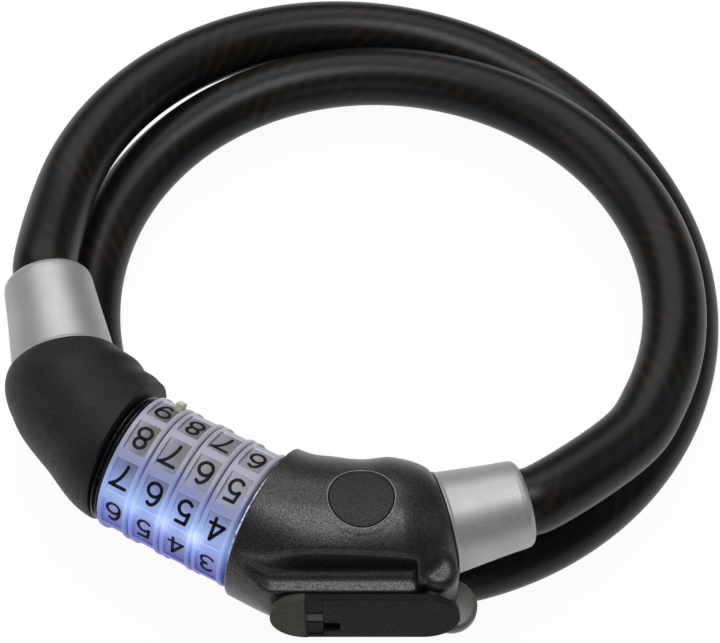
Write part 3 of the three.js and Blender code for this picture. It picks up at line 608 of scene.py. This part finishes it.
def housing(name, axis, form, material, stations, rays=((0, 360, 1.8),), extras=None):
    # Section by section along the bent axis, the outermost point of the form on each ray.
    u = np.linspace(0, 1, stations)
    s = 0.62 * u + 0.38 * np.sin(u * math.pi / 2)  # closer together towards the ferrule
    p, v = axis.at(s)
    side = np.stack([-v[:, 1], v[:, 0]], axis=-1)
    towards = side * np.where(v[:, :1] < 0, -1, 1)  # towards the coil
    a = np.concatenate([np.arange(start, stop - step / 2, step) for start, stop, step in rays])
    c, w = np.cos(np.radians(a))[None, :], np.sin(np.radians(a))[None, :]
    band = {k: bandRadius(form, k, s, axis.length)[:, None] for k in ("inner", "up", "outer")}
    edge = form["faceEdge"]
    fromFace = np.clip(edge - s * axis.length, 0, edge)[:, None]  # rounds the rim at the dials
    trim = edge - np.sqrt(np.maximum(edge**2 - fromFace**2, 0))
    ray = np.stack([c * np.where(c > 0, band["inner"], band["outer"]), w * band["up"]], axis=-1)
    plain = np.linalg.norm(ray, axis=-1)
    ray /= plain[..., None]
    plain = plain - trim
    direction = np.concatenate([ray[..., :1] * towards[:, None, :], ray[..., 1:]], axis=-1)
    centre = np.concatenate([p, np.zeros((stations, 1))], axis=1)[:, None, :]
    reach = lastCrossing(extras, plain, centre, direction) if extras else plain
    form["skin"] = centre + direction * reach[..., None]
    if extras:
        reach = pocketed(reach, form["skin"], direction)
    skinRows = centre + direction * reach[..., None]

    def ring(x, radius):  # a round row about the dial axis
        row = direction[:1] * radius
        row[..., 0] = x
        return row

    x0, bore = skinRows[0, 0, 0], form["boreRadius"]
    hollow = [ring(form["boreEnd"], r) for r in (0.6, 0.96 * bore, bore)]
    hollow += [ring(x0, r) for r in (bore, bore + 0.05, 9.0, 12.5)]
    closing = [centre[-1:] + direction[-1:] * (reach[-1:] * share)[..., None] for share in (0.985, 0.75, 0.4)]
    grid = np.concatenate(hollow + [skinRows] + closing)
    return turnOut(skin(name, rowFromStack(grid), material, sharp=38))


def turnOut(piece):  # makes every face point outwards
    bm = bmesh.new()
    bm.from_mesh(piece.data)
    bmesh.ops.recalc_face_normals(bm, faces=bm.faces)
    bm.to_mesh(piece.data)
    bm.free()
    piece.data.set_sharp_from_angle(angle=math.radians(38))
    return piece


# Rays stand closer where the shelf is: from, to and step in degrees.
lockRays = ((0, 140, 1.5), (140, 172, 0.25), (172, 215, 0.8), (215, 360, 1.6))
lockHousing = housing("lockHousing", lockAxis, lockForm, plastic["black"], 230, lockRays, lockExtras)
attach(lockHousing, "root")
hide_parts("lock_housing")
plugHousing = housing("plugHousing", plugAxis, plugForm, plastic["plug"], 180)
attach(plugHousing, "plug")
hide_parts("plug_housing")
print("housings made")

# Ferrules: turned cones that flare to the housing, with a rounded mouth and a bore for the cable.
ferruleForm = {  # length, radii at the housing and at the cable, rounding of the mouth, frame, body
    "lock": (ferrule["lockLength"], 11.5, 9.75, 1.6, lockEnd, "root"),
    "plug": (ferrule["plugLength"], 12.0, 10.3, 2.4, plugEnd, "plug"),
}
flare = ((0, 0.18, 0.35, 0.52, 0.7, 0.85, 1), (0, 0.23, 0.42, 0.62, 0.8, 0.92, 1))  # along, narrowed
bead = ((0.3, -0.3), (0.33, -0.05), (0.42, 0.08), (0.55, 0.13), (0.7, 0.1), (0.82, 0.0))  # along, out
tail = {"back": -8, "bore": 5.95, "outside": 8.4}  # the sleeve that goes into the housing
for sideName, (length, wide, narrow, mouthEdge, place, body) in ferruleForm.items():
    along = np.linspace(0.95, length - mouthEdge - 0.3, 40)
    slope = [(x, wide + (narrow - wide) * t) for x, t in zip(along, np.interp(along / length, *flare))]
    rim = [(bead[0][0], tail["outside"])] + [(x, wide + out) for x, out in bead]
    t = np.radians(np.linspace(0, 88, 12))
    mouth = list(zip(length - mouthEdge * (1 - np.sin(t)), narrow - mouthEdge * (1 - np.cos(t))))
    bore = cable["diameter"] / 2 + 0.3
    deep = length - cable["inFerrule"] - 0.3
    inside = [(length + 0.01, bore + 0.12), (length - 0.2, bore), (deep, bore), (deep, tail["bore"])]
    inside += [(tail["back"], tail["bore"]), (tail["back"], tail["outside"])]
    outline = rim + slope + mouth + inside
    piece = turnOut(turned(sideName + "Ferrule", outline, place, metal["ferrule"], 144, wrap=True))
    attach(piece, body)
    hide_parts(sideName + "_ferrule")

# Collar between the plug and the dials: two thin round ridges on a black ring.
collarStart = collarFace - stack["collarLength"]
ridge = (  # along from the ring's side, radius over the collar's
    (0.0, -1.4), (0.12, -0.85), (0.28, -0.25), (0.45, -0.03), (0.62, -0.03), (0.8, -0.25), (0.95, -0.75),
    (1.1, -1.0),
)
outline = [(collarStart + x, stack["collarRadius"] + out) for x, out in ridge]
outline += [(collarFace - x, stack["collarRadius"] + out) for x, out in reversed(ridge)]
outline += [(collarFace, stack["collarBore"]), (collarStart, stack["collarBore"])]
collar = turnOut(turned("endCollar", outline, rowFromStack, plastic["collar"], 180, wrap=True, sharp=45))
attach(collar, "root")
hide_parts("end_collar")
print("ferrules and collar made")

# Dials: a turned ring with rounded shoulders and ten flat windows, each with its digit.
dialForm = {
    "width": stack["pitch"] - stack["gap"],
    "radius": stack["dialRadius"],
    "bore": stack["dialBore"],
    "shoulders": (0.30, 0.55),  # towards the plug and the lock
    "digits": 10,
    "windowWide": 5.2,
    "windowHigh": 7.7,
    "windowDeep": 0.75,
    "windowCorner": 0.4,
    "windowEdge": 0.16,
    "topWindow": 92.5,  # degrees round the axis
    "stagger": 1.8,  # each dial is turned this much past the one on its plug side
    "stroke": 0.78,
    "ink": (-0.05, 0.04),  # under and over the window
    "firstDigit": 9,  # shown at digitPlace on the dial beside the plug
    "digitPlace": 56.0,
    "ridges": (2.85, 3.12),  # thin round lines near the lock's side
    "ridgeHigh": 0.06,
    "ridgeWide": 0.07,
}
digitStep = 360 / dialForm["digits"]
dialPaintedTones = {  # painted light: stops go round the dial from its dull side to its painted lit front
    "ring": (
        (0.06, (0.36, 0.35, 0.42)), (0.40, (0.30, 0.29, 0.37)), (0.56, (0.23, 0.25, 0.46)),
        (0.71, (0.27, 0.34, 0.62)), (0.86, (0.18, 0.21, 0.54)), (1.0, (0.09, 0.10, 0.38)),
    ),
    "paintedPaneShade": (
        (0.06, (0.115, 0.11, 0.092)), (0.40, (0.10, 0.097, 0.086)), (0.56, (0.13, 0.14, 0.22)),
        (0.71, (0.17, 0.22, 0.44)), (0.86, (0.14, 0.17, 0.44)), (1.0, (0.08, 0.09, 0.34)),
    ),
    "glow": (
        (0.42, (0.0, 0.0, 0.0)), (0.58, (0.012, 0.02, 0.06)), (0.72, (0.07, 0.11, 0.22)),
        (0.86, (0.06, 0.08, 0.24)), (1.0, (0.02, 0.02, 0.12)),
    ),
    "lamp": ((0.0, (0.0, 0.0, 0.0)), (0.5, (0.13, 0.18, 0.24)), (1.0, (0.50, 0.58, 0.62))),
}
# Painted light on the dials, stored on each dial's mesh so that it turns with the dial.
dialPaintedLight = {
    "rise": ((40, 190, 215, 400), (0, 1, 1, 0)),  # degrees and how lit it is painted there
    "paintedJointGlow": (146.0, 11.0, 2.3),  # painted glow between dials: degrees, spread round, spread along
    "paintedJointGlowLevel": (0.36, 0.10),  # the painted glow's level at first, and more on each dial
    "paintedHaze": (138.0, 20.0, 0.26),  # painted glow: degrees, spread and level
    "paneLeft": 0.18,  # a pane's painted shade on its plug side
    "paneFade": 0.17,  # the painted shade is less on each dial
    "paintedEdgeLine": (0.55, 0.10, 0.2),  # painted bright line at a window's edge: level, width and fade at its ends
    # painted glow along the thin ridges
    "paintedRidgeLine": 0.22,
}


def attribute(tree, name):  # a value stored at each point of the mesh
    return addNode(tree, "Attribute", attribute_name=name)["Fac"]


def dialMaterial():  # frosted clear plastic with painted light: a painted lit front and a painted glow from between the dials
    m, tree, shader = newMaterial("dialFrostPaintedLight")
    source = objectPoint(tree)
    cloud = noise(tree, source, 260.0)  # the painted light goes round the dial, a little unevenly
    level = compute(tree, "MULTIPLY_ADD", cloud, 0.12, attribute(tree, "round"))
    # The ring tone is painted light and the pane tone is painted shade, both in the base colour; the glow and
    # lamp tones are painted glow, given off as emission.
    tones = {key: ramp(tree, level, dialPaintedTones[key]) for key in ("ring", "paintedPaneShade", "glow")}
    lamp = ramp(tree, attribute(tree, "lamp"), dialPaintedTones["lamp"])
    fine = noise(tree, source, 1800.0, 2.0)
    setInputs(tree, shader, {
        "Base Color": mixColours(tree, "MIX", attribute(tree, "paintedPaneShade"), tones["ring"], tones["paintedPaneShade"]),
        "Emission Color": mixColours(tree, "ADD", 1.0, tones["glow"], lamp),
        "Emission Strength": 1.0,
        "Roughness": spread(tree, fine, 0.26, 0.38),
        "Normal": bump(tree, fine, 0.2, 0.00002),
    })
    return m


dialFrostPaintedLight = dialMaterial()


def dialTurn(index):  # degrees, even about the stack's middle
    return dialForm["stagger"] * (index - (stack["dialCount"] - 1) / 2)


def dialX(index):  # the dial's middle along the axis
    return (index - (stack["dialCount"] - 1) / 2) * stack["pitch"]


def bell(x, width):  # e to minus the square of x over the width
    return np.exp(-((x / width) ** 2))


def dialSamples():  # millimetres along a dial and degrees round a window, closer at the edges
    half, side = dialForm["width"] / 2, dialForm["windowWide"] / 2
    x = np.concatenate([
        np.linspace(-half, -side - 0.14, 15), np.linspace(-side - 0.12, -side + 0.12, 7),
        np.linspace(-side + 0.3, side - 0.3, 14), np.linspace(side - 0.12, side + 0.12, 7),
        np.linspace(side + 0.14, half, 30),
    ])
    edge = math.degrees(math.atan2(dialForm["windowHigh"] / 2, dialForm["radius"] - dialForm["windowDeep"]))
    sector = np.concatenate([
        np.linspace(-digitStep / 2, -edge - 0.8, 4), np.linspace(-edge - 0.5, -edge + 0.5, 9),
        np.linspace(-edge + 1, edge - 1, 26), np.linspace(edge - 0.5, edge + 0.5, 9),
        np.linspace(edge + 0.8, digitStep / 2 - 1, 3),
    ])
    return x, sector


def buildDial(index):
    # Radius over (along, round): the turned profile, lowered to a flat in each window.
    half, r = dialForm["width"] / 2, dialForm["radius"]
    side, level = dialForm["windowWide"] / 2, r - dialForm["windowDeep"]
    x, sector = dialSamples()
    c = np.where(x < 0, *dialForm["shoulders"])
    inShoulder = np.clip((np.abs(x) - (half - c)) / c, 0, 1)
    ridges = sum(bell(x - at, dialForm["ridgeWide"]) for at in dialForm["ridges"])[:, None]
    profile = r - c * (1 - np.sqrt(np.maximum(1 - inShoulder**2, 0)))
    profile = profile[:, None] + dialForm["ridgeHigh"] * ridges
    turnBy = dialForm["topWindow"] + dialTurn(index)
    a = np.radians((np.arange(dialForm["digits"])[:, None] * digitStep + sector[None, :]).ravel() + turnBy)
    fromWindow = np.radians(np.tile(sector, dialForm["digits"]))
    across = side - np.abs(x)[:, None]
    upright = dialForm["windowHigh"] / 2 - np.abs(np.tan(fromWindow) * level)[None, :]
    corner = dialForm["windowCorner"]
    rounded = corner - np.hypot(corner - across, corner - upright)
    inset = np.where((across < corner) & (upright < corner), rounded, np.minimum(across, upright))
    t = smoothStep(np.clip(inset / dialForm["windowEdge"] + 0.5, 0, 1))
    radius = profile + (np.minimum(level / np.cos(fromWindow)[None, :], profile) - profile) * t
    bore = np.full((1, len(a)), dialForm["bore"])
    radius = np.concatenate([bore, radius, bore])
    fromMiddle = np.concatenate([[-half], x, [half]])[:, None]
    along = np.broadcast_to(fromMiddle + dialX(index), radius.shape)
    grid = np.stack([along, radius * np.cos(a), radius * np.sin(a)], -1)
    piece = turnOut(skin(f"dial{index + 1}", rowFromStack(grid), dialFrostPaintedLight, wrap=True))

    # Three painted layers: shade in the panes, light round the dial, and glow where the lamps shine through.
    degrees = np.degrees(a) % 360
    # Painted shade in the windows: fullest on each pane's lock side, and less on each dial towards the lock.
    left = dialPaintedLight["paneLeft"]
    towardsLock = np.clip((x[:, None] + side) / (1.3 * side), 0, 1)
    paintedPaneShade = t * (left + (1 - left) * towardsLock) * (1 - dialPaintedLight["paneFade"] * index)
    # Painted glow where the lamps inside shine through between the dials, and a painted haze.
    place, spreadRound, spreadAlong = dialPaintedLight["paintedJointGlow"]
    first, more = dialPaintedLight["paintedJointGlowLevel"]
    paintedJointGlow = bell(fromMiddle + half, spreadAlong) * (index > 0)
    paintedJointGlow = paintedJointGlow + bell(half - fromMiddle, spreadAlong) * (index < stack["dialCount"] - 1)
    lamp = paintedJointGlow * bell(degrees - place, spreadRound)[None, :] * (first + more * index)
    place, spreadRound, paintedHaze = dialPaintedLight["paintedHaze"]
    lamp = lamp + paintedHaze * bell(degrees - place, spreadRound)[None, :]
    # Painted bright lines along the windows' edges and the ridges.
    edgeLevel, edgeWide, edgeFade = dialPaintedLight["paintedEdgeLine"]
    paintedEdgeLines = edgeLevel * bell(upright, edgeWide) * (fromWindow < 0) * np.clip(across / edgeFade, 0, 1)
    lamp[1:-1] += paintedEdgeLines + dialPaintedLight["paintedRidgeLine"] * ridges
    # How lit each place is painted, by its angle round the dial.
    paintedLitShare = np.broadcast_to(np.interp(degrees, *dialPaintedLight["rise"]), radius.shape)
    layers = {"paintedPaneShade": np.pad(paintedPaneShade, ((1, 1), (0, 0))), "lamp": np.clip(lamp, 0, 1), "round": paintedLitShare}
    for name, values in layers.items():
        layer = piece.data.attributes.new(name, "FLOAT", "POINT")
        layer.data.foreach_set("value", values.astype(np.float32).ravel())
    return piece


def arc(x, y, wide, high, start, stop, steps=22):  # part of an ellipse, in degrees
    a = np.radians(np.linspace(start, stop, steps))
    return np.stack([x + wide * np.cos(a), y + high * np.sin(a)], -1)


def line(*corners):  # straight from each corner to the next
    return np.array(corners, float)


# Strokes of each digit, in millimetres from its middle.
six = [arc(0, -0.98, 1.55, 1.5, 0, 360, 40), arc(0, -0.55, 1.55, 3.0, 180, 62, 20)]
strokes = {
    0: [arc(0, 0, 1.5, 2.5, 0, 360, 44)],
    1: [line((-1.0, 1.5), (0.4, 2.5)), line((0.4, 2.5), (0.4, -2.5))],
    2: [arc(0, 1.1, 1.45, 1.4, 160, -30), line((1.25, 0.4), (-1.5, -2.5)), line((-1.5, -2.5), (1.55, -2.5))],
    3: [arc(0, 1.25, 1.3, 1.25, 150, -80), arc(0, -1.15, 1.5, 1.35, 85, -150)],
    4: [line((0.7, 2.5), (-1.7, -1.15)), line((-1.7, -1.15), (1.7, -1.15)), line((0.7, 2.5), (0.7, -2.5))],
    5: [
        line((1.25, 2.5), (-1.0, 2.5)), line((-1.0, 2.5), (-1.2, 0.15)),
        arc(0.02, -0.9, 1.5, 1.6, 143, -140, 30),
    ],
    6: six,
    7: [line((-1.5, 2.5), (1.55, 2.5)), arc(3.4, -3.2, 3.9, 6.0, 108, 173, 14)],
    8: [arc(0, 1.28, 1.25, 1.22, 0, 360, 34), arc(0, -1.2, 1.5, 1.3, 0, 360, 38)],
    9: [-path for path in six],
}


def strokeGrid(path, low, high):
    # Rows of four corners along a stroke: its width falls to nothing round each free end.
    w = dialForm["stroke"] / 2
    closed = np.allclose(path[0], path[-1])
    heading = np.gradient(path, axis=0)
    if closed:
        heading[0] = heading[-1] = path[1] - path[-2]
    heading /= np.linalg.norm(heading, axis=1, keepdims=True)
    wide = np.full(len(path), w)
    if not closed:
        t = np.radians([12, 35, 60, 80])
        start = path[0] - heading[0] * (w * np.cos(t))[:, None]
        end = path[-1] + heading[-1] * (w * np.cos(t[::-1]))[:, None]
        path = np.vstack([start, path, end])
        heading = np.vstack([np.repeat(heading[:1], 4, 0), heading, np.repeat(heading[-1:], 4, 0)])
        wide = np.concatenate([w * np.sin(t), wide, w * np.sin(t[::-1])])
    normal = np.stack([-heading[:, 1], heading[:, 0]], -1) * wide[:, None]
    grid = np.empty((len(path), 4, 3))
    grid[:, 0, :2] = grid[:, 1, :2] = path - normal
    grid[:, 2, :2] = grid[:, 3, :2] = path + normal
    grid[:, 0, 2] = grid[:, 3, 2] = low
    grid[:, 1, 2] = grid[:, 2, 2] = high
    return grid


def roundAxis(x, out, side, degrees):  # out from the dial axis and to the side, turned round it
    c, s = math.cos(math.radians(degrees)), math.sin(math.radians(degrees))
    return np.stack(np.broadcast_arrays(x, out * c - side * s, out * s + side * c), -1)


def buildDigits(index):  # flat strokes laid on each window, a digit's top towards rising angle
    level = dialForm["radius"] - dialForm["windowDeep"]
    verts, faces, base = [], [], 0
    for k in range(dialForm["digits"]):
        value = (dialForm["firstDigit"] - index - k) % dialForm["digits"]
        degrees = dialForm["digitPlace"] + dialTurn(index) + digitStep * k
        for path in strokes[value]:
            grid = strokeGrid(path, *dialForm["ink"])
            rows = len(grid)
            placed = roundAxis(dialX(index) - grid[..., 0], level + grid[..., 2], grid[..., 1], degrees)
            verts.append(placed.reshape(-1, 3))
            faces += (gridFaces(rows, 4) + base).tolist()
            faces += [[base + 3, base + 2, base + 1, base], [base + rows * 4 - 4 + n for n in range(4)]]
            base += rows * 4
    return turnOut(addMesh(f"digits{index + 1}", rowFromStack(np.vstack(verts)), faces, plastic["ink"]))


def roundEdges(piece, width):  # a bevel on every edge that turns by more than 40 degrees
    bevel = piece.modifiers.new("edges", "BEVEL")
    bevel.width = width * mm
    bevel.segments = 3
    bevel.limit_method = "ANGLE"
    bevel.angle_limit = math.radians(40)
    bevel.use_clamp_overlap = True
    return piece


# The small pale tab on the first dial's lock side, at some degrees round the axis.
tab = {"along": 1.9, "round": 2.2, "in": 1.0, "out": 1.35, "at": 39.0, "inset": 1.15, "edge": 0.25}
right = dialForm["width"] / 2 - tab["inset"] + dialX(0)
out = dialForm["radius"] + np.array([-tab["in"], -tab["in"], tab["out"], tab["out"]])
side = np.array([-1, 1, 1, -1]) * tab["round"] / 2
verts = np.concatenate([roundAxis(x, out, side, tab["at"]) for x in (right - tab["along"], right)])
faces = [(3, 2, 1, 0), (4, 5, 6, 7), (0, 1, 5, 4), (1, 2, 6, 5), (2, 3, 7, 6), (3, 0, 4, 7)]
tabPiece = roundEdges(turnOut(addMesh("dialTab", rowFromStack(verts), faces, plastic["tab"])), tab["edge"])
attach(tabPiece, "dial_1_wheel")

for index in range(stack["dialCount"]):
    dial = buildDial(index)
    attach(dial, f"dial_{index + 1}_wheel")
    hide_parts(f"dial_{index + 1}")
    digits = buildDigits(index)
    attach(digits, f"dial_{index + 1}_wheel")
print("dials made")

# Carrier shoe, its end cap and the catch: flat plates with rounded edges, each from back to front.
shoeForm = {
    "length": 40.5, "height": 15.3, "depth": (-1.6, 0.0), "edge": 0.22,
    "capLength": 7.5,
    "seam": 0.12,
    "neckLength": 33.0, "neckHeight": 7.4, "neckDepth": (-2.7, -1.5), "neckEdge": 0.1,
    "windowLength": 3.9, "windowHeight": 13.0,
    "keyHole": (3.6, 3.2, -3.3),  # width, height, middle up the face
    "holeDepth": (-1.48, -1.0), "holeMore": 0.2,  # its floor goes on under the shoe
}
catchForm = {
    "depth": (-1.5, -0.32), "edge": 0.1,
    "backDepth": (-1.75, -1.2), "backEdge": 0.02,
    "clear": (0.2, 0.03, 0.15),  # at the seam, at the shoe and at the window's ends
    "middleCell": 1.45,  # half its height
    "ribs": 1.95,  # where the outer cells start
}
seamX = -shoeForm["length"] / 2 + shoeForm["capLength"]
halfHigh = shoeForm["height"] / 2
windowRight = seamX + shoeForm["windowLength"]
windowHalf = shoeForm["windowHeight"] / 2
keyWide, keyHigh, keyMiddle = shoeForm["keyHole"]
keyLow, keyTop = keyMiddle - keyHigh / 2, keyMiddle + keyHigh / 2


def roundEnd(length, height, fromAngle, toAngle, steps=24):  # points on a stadium's end
    a = np.radians(np.linspace(fromAngle, toAngle, steps))
    middle = (length - height) / 2 * (1 if abs(fromAngle) <= 90 else -1)
    return [(middle + height / 2 * math.cos(t), height / 2 * math.sin(t)) for t in a]


def rectangle(left, right, low, high):  # its corners, from the lower left
    return [(left, low), (right, low), (right, high), (left, high)]


def plate(name, outline, depth, material, edge):
    # An outline raised from back to front, with its edges rounded by a bevel.
    n = len(outline)
    verts = np.array([(x, y, z) for z in depth for x, y in outline])
    faces = [tuple(reversed(range(n))), tuple(range(n, 2 * n))]
    faces += [(i, (i + 1) % n, n + (i + 1) % n, n + i) for i in range(n)]
    return roundEdges(addMesh(name, rowFromShoe(verts), faces, material, sharp=50), edge)


shoeOutline = [(seamX, -halfHigh)] + roundEnd(shoeForm["length"], shoeForm["height"], -90, 90)
shoeOutline += [(seamX, halfHigh), (seamX, windowHalf), (windowRight, windowHalf), (windowRight, keyTop)]
shoeOutline += [(windowRight + keyWide, keyTop), (windowRight + keyWide, keyLow)]
shoeOutline += [(windowRight, keyLow), (windowRight, -windowHalf), (seamX, -windowHalf)]
shoe = plate("carrierShoe", shoeOutline, shoeForm["depth"], plastic["shoe"], shoeForm["edge"])
neckOutline = roundEnd(shoeForm["neckLength"], shoeForm["neckHeight"], -90, 90)
neckOutline += [(windowRight, shoeForm["neckHeight"] / 2), (windowRight, -shoeForm["neckHeight"] / 2)]
neck = plate("shoeNeck", neckOutline, shoeForm["neckDepth"], plastic["shoe"], shoeForm["neckEdge"])
capRight = seamX - shoeForm["seam"]
capOutline = [(capRight, halfHigh)] + roundEnd(shoeForm["length"], shoeForm["height"], 90.01, 270)
capOutline += [(capRight, -halfHigh)]
shoeCap = plate("shoeCap", capOutline, shoeForm["depth"], plastic["cap"], shoeForm["edge"])
more = shoeForm["holeMore"]
holeOutline = rectangle(windowRight, windowRight + keyWide + more, keyLow - more, keyTop + more)
# The hole's floor is near black: painted shade in the deep hole.
holeFloor = plate("holeFloor", holeOutline, shoeForm["holeDepth"], plastic["paintedShade"], catchForm["backEdge"])
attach(holeFloor, "root")
cellLeft, cellRight = seamX + catchForm["clear"][0], windowRight - catchForm["clear"][1]
cellTop = windowHalf - catchForm["clear"][2]
catchCells = (
    (-cellTop, -catchForm["ribs"], "shoe"),
    (-catchForm["middleCell"], catchForm["middleCell"], "catch"),
    (catchForm["ribs"], cellTop, "shoe"),
)
for number, (low, high, look) in enumerate(catchCells, 1):
    corners = rectangle(cellLeft, cellRight, low, high)
    cell = plate(f"catchCell{number}", corners, catchForm["depth"], plastic[look], catchForm["edge"])
    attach(cell, "catch")
    if number == 2:
        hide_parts("shoe_catch")
# A near-black plate behind the catch cells: painted shade for the dark inside.
corners = rectangle(cellLeft, cellRight, -cellTop, cellTop)
catchBack = plate("catchBack", corners, catchForm["backDepth"], plastic["paintedShade"], catchForm["backEdge"])
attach(catchBack, "catch")
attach(shoe, "root")
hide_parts("carrier_shoe")
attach(neck, "root")
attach(shoeCap, "root")
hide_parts("shoe_cap")

# Light button: its face and the seat round it repeat the housing's skin, height as a polynomial
# of the place in the plan, fitted to the skin's points near the button.
bx, by = button["place"]
near = stackToPlan(lockForm["skin"]).reshape(-1, 3) - np.array([bx, by, 0])
near = near[(np.hypot(near[:, 0], near[:, 1]) < button["fitRadius"]) & (near[:, 2] > button["fitAbove"])]
powers = [(i, j) for i in range(button["fitDegree"] + 1) for j in range(button["fitDegree"] + 1 - i)]


def powerColumns(x, y):  # x to the i times y to the j, for each pair of powers
    scale = button["fitScale"]
    return np.stack([(x / scale) ** i * (y / scale) ** j for i, j in powers], axis=-1)


columns = powerColumns(near[:, 0], near[:, 1])
heights = np.linalg.lstsq(columns, near[:, 2], rcond=None)[0]
miss = np.abs(columns @ heights - near[:, 2]).max()
print("button face fitted to the skin within", round(float(miss), 3), "mm")


def onSkin(name, profile, material, wrap, around=160):
    # Rings about the button's middle, one for each (radius, height) of the profile.
    a = circle(around)
    rings = []
    for radius, height in profile:
        x, y = radius * np.cos(a), radius * np.sin(a)
        overGround = height > button["overGround"]
        z = np.full(around, height) if overGround else powerColumns(x, y) @ heights + height
        rings.append(np.stack([bx + x, by + y, z], axis=-1))
    return turnOut(skin(name, rowFromPlan(np.array(rings)), material, wrap, 40))


r = button["diameter"] / 2
face = [(radius, -0.03) for radius in np.linspace(0.15, r - 0.35, 16)]
face += [(r - back, height) for back, height in button["edge"]] + [(0.2, -1.6)]
lightButton = onSkin("lightButton", face, plastic["button"], False)
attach(lightButton, "button")
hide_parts("light_button")
inner, outer = r + button["gap"], r + button["seat"]
# The lip's pale grey is a painted highlight round the button.
lip = [(inner + out, height) for out, height in button["lip"]]
buttonLipPaintedHighlight = onSkin("buttonLipPaintedHighlight", lip, plastic["lip"], True)
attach(buttonLipPaintedHighlight, "root")
seat = [(inner + 0.1, 43.0), (inner + 0.1, -0.2), (inner + 0.22, 0.0)]
seatRadii = np.linspace(inner + 0.35, outer, 9)  # level, then sinking into the skin
seat += list(zip(seatRadii, np.interp(seatRadii, [inner + 1.3, outer], [0.02, -0.06]))) + [(outer, 43.0)]
buttonSeat = onSkin("buttonSeat", seat, plastic["black"], True)
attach(buttonSeat, "root")
print("shoe and button made")

# Battery lid: a round grey cap under the knuckle.
lid = {"place": (15.8, -81.6), "radius": 5.9, "top": 24.3, "thick": 3.4}


def rowFromLid(points):  # x is the height over the floor, y and z run across the lid
    x, y = lid["place"][0] + points[..., 1], lid["place"][1] + points[..., 2]
    return rowFromPlan(np.stack([x, y, points[..., 0]], -1))


t, r = lid["top"], lid["radius"]
foot = t - lid["thick"]
profile = [(t, 0.1), (t, r - 1.0), (t - 0.1, r - 0.6), (t - 0.35, r - 0.2), (t - 0.8, r), (foot + 0.9, r)]
profile += [(foot + 0.35, r - 0.25), (foot + 0.05, r - 0.8), (foot, r - 1.4), (foot + 0.15, r - 1.6)]
profile += [(foot + 0.18, 0.1)]
cellLid = turnOut(turned("cellLid", profile, rowFromLid, plastic["lid"], 96))
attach(cellLid, "root")
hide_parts("cell_cap")

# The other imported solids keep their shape.
springs = ("catch_spring", "cell_spring", "button_spring")
cells = ("cell_1", "cell_2", "cell_3")
codeRings = ("code_ring_1", "code_ring_2", "code_ring_3", "code_ring_4")
crimps = ("lock_crimp", "plug_crimp", "lock_crimp_pin", "plug_crimp_pin")
finishes = (
    (metal["steel"], springs + cells + crimps + ("light_switch", "barrel_pin", "locking_bolt", "bolt_pin")),
    (metal["brass"], codeRings + ("lock_barrel",)),
    (plastic["board"], ("circuit_board", "lamp_board")),
    (plastic["lamp"], ("light_guide", "lamp_1", "lamp_2", "lamp_3")),
)
for material, names in finishes:
    for name in names:
        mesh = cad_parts[name].data
        mesh.materials.clear()
        mesh.materials.append(material)
print("packed solids finished")

# Floor, world and lamps.
studio = {
    "floorSize": 3.0,
    "floorUnder": 0.00005,  # metres under the cable
    "floorColour": (0.90, 0.90, 0.90),
    "floorGlow": 0.95,
    "worldLight": 0.08,
    "aim": (0.0, 0.06, -0.02),
    "lamps": {  # place in metres, size in metres, power in watts
        "key": ((0.03, 0.09, 0.80), (0.38, 0.40), 4.0),
        "back": ((-0.10, 0.60, 0.56), (0.90, 0.45), 3.0),
        "leftSide": ((-0.62, 0.06, 0.36), (0.24, 0.50), 0.8),
        "rightSide": ((0.62, 0.10, 0.40), (0.30, 0.50), 0.3),
        "front": ((-0.05, -0.66, 0.30), (0.70, 0.25), 0.8),
    },
}
white = (1, 1, 1, 1)


def seenDirectly(tree):  # 1 for camera, mirror and glass rays
    path = addNode(tree, "LightPath")
    most = path["Is Camera Ray"]
    for rayKind in ("Is Glossy Ray", "Is Transmission Ray"):
        most = compute(tree, "MAXIMUM", most, path[rayKind])
    return most


def mixShaders(tree, outputName, share, one, two):  # the output gets one, or two where share is 1
    mixed = addNode(tree, "MixShader", {0: share, 1: one, 2: two})["Shader"]
    tree.links.new(mixed, tree.nodes[outputName].inputs["Surface"])


def floorPiece():  # a pale square that glows where it is seen directly
    half = studio["floorSize"] / 2
    m, tree, shader = newMaterial("studioFloor")
    colour = (*studio["floorColour"], 1)
    setInputs(tree, shader, {"Base Color": colour, "Roughness": 0.9, "Specular IOR Level": 0.0})
    glow = addNode(tree, "Emission", {"Color": white, "Strength": 1.0})["Emission"]
    share = compute(tree, "MULTIPLY", seenDirectly(tree), studio["floorGlow"])
    mixShaders(tree, "Material Output", share, shader.outputs["BSDF"], glow)
    z = floorHeight - studio["floorUnder"]
    verts = [(x, y, z) for x, y in rectangle(-half, half, -half, half)]
    return addMesh("studioFloor", verts, [(0, 1, 2, 3)], m)


floor = floorPiece()
world = bpy.data.worlds.new("studioWorld")
bpy.context.scene.world = world
world.use_nodes = True
tree = world.node_tree
background = tree.nodes["Background"]
setInputs(tree, background, {"Color": white, "Strength": studio["worldLight"]})
bright = addNode(tree, "Background", {"Color": white, "Strength": 1.0})["Background"]
seen = addNode(tree, "LightPath")["Is Camera Ray"]
mixShaders(tree, "World Output", seen, background.outputs["Background"], bright)
for name, (place, size, power) in studio["lamps"].items():
    light = bpy.data.lights.new(name, "AREA")
    light.shape = "RECTANGLE"
    light.size, light.size_y = size
    light.energy = power
    lamp = bpy.data.objects.new(name, light)
    lamp.location = place
    lamp.rotation_euler = (Vector(studio["aim"]) - Vector(place)).to_track_quat("-Z", "Y").to_euler()
    bpy.context.scene.collection.objects.link(lamp)

bpy.context.scene.view_settings.view_transform = "Standard"
print("studio made")
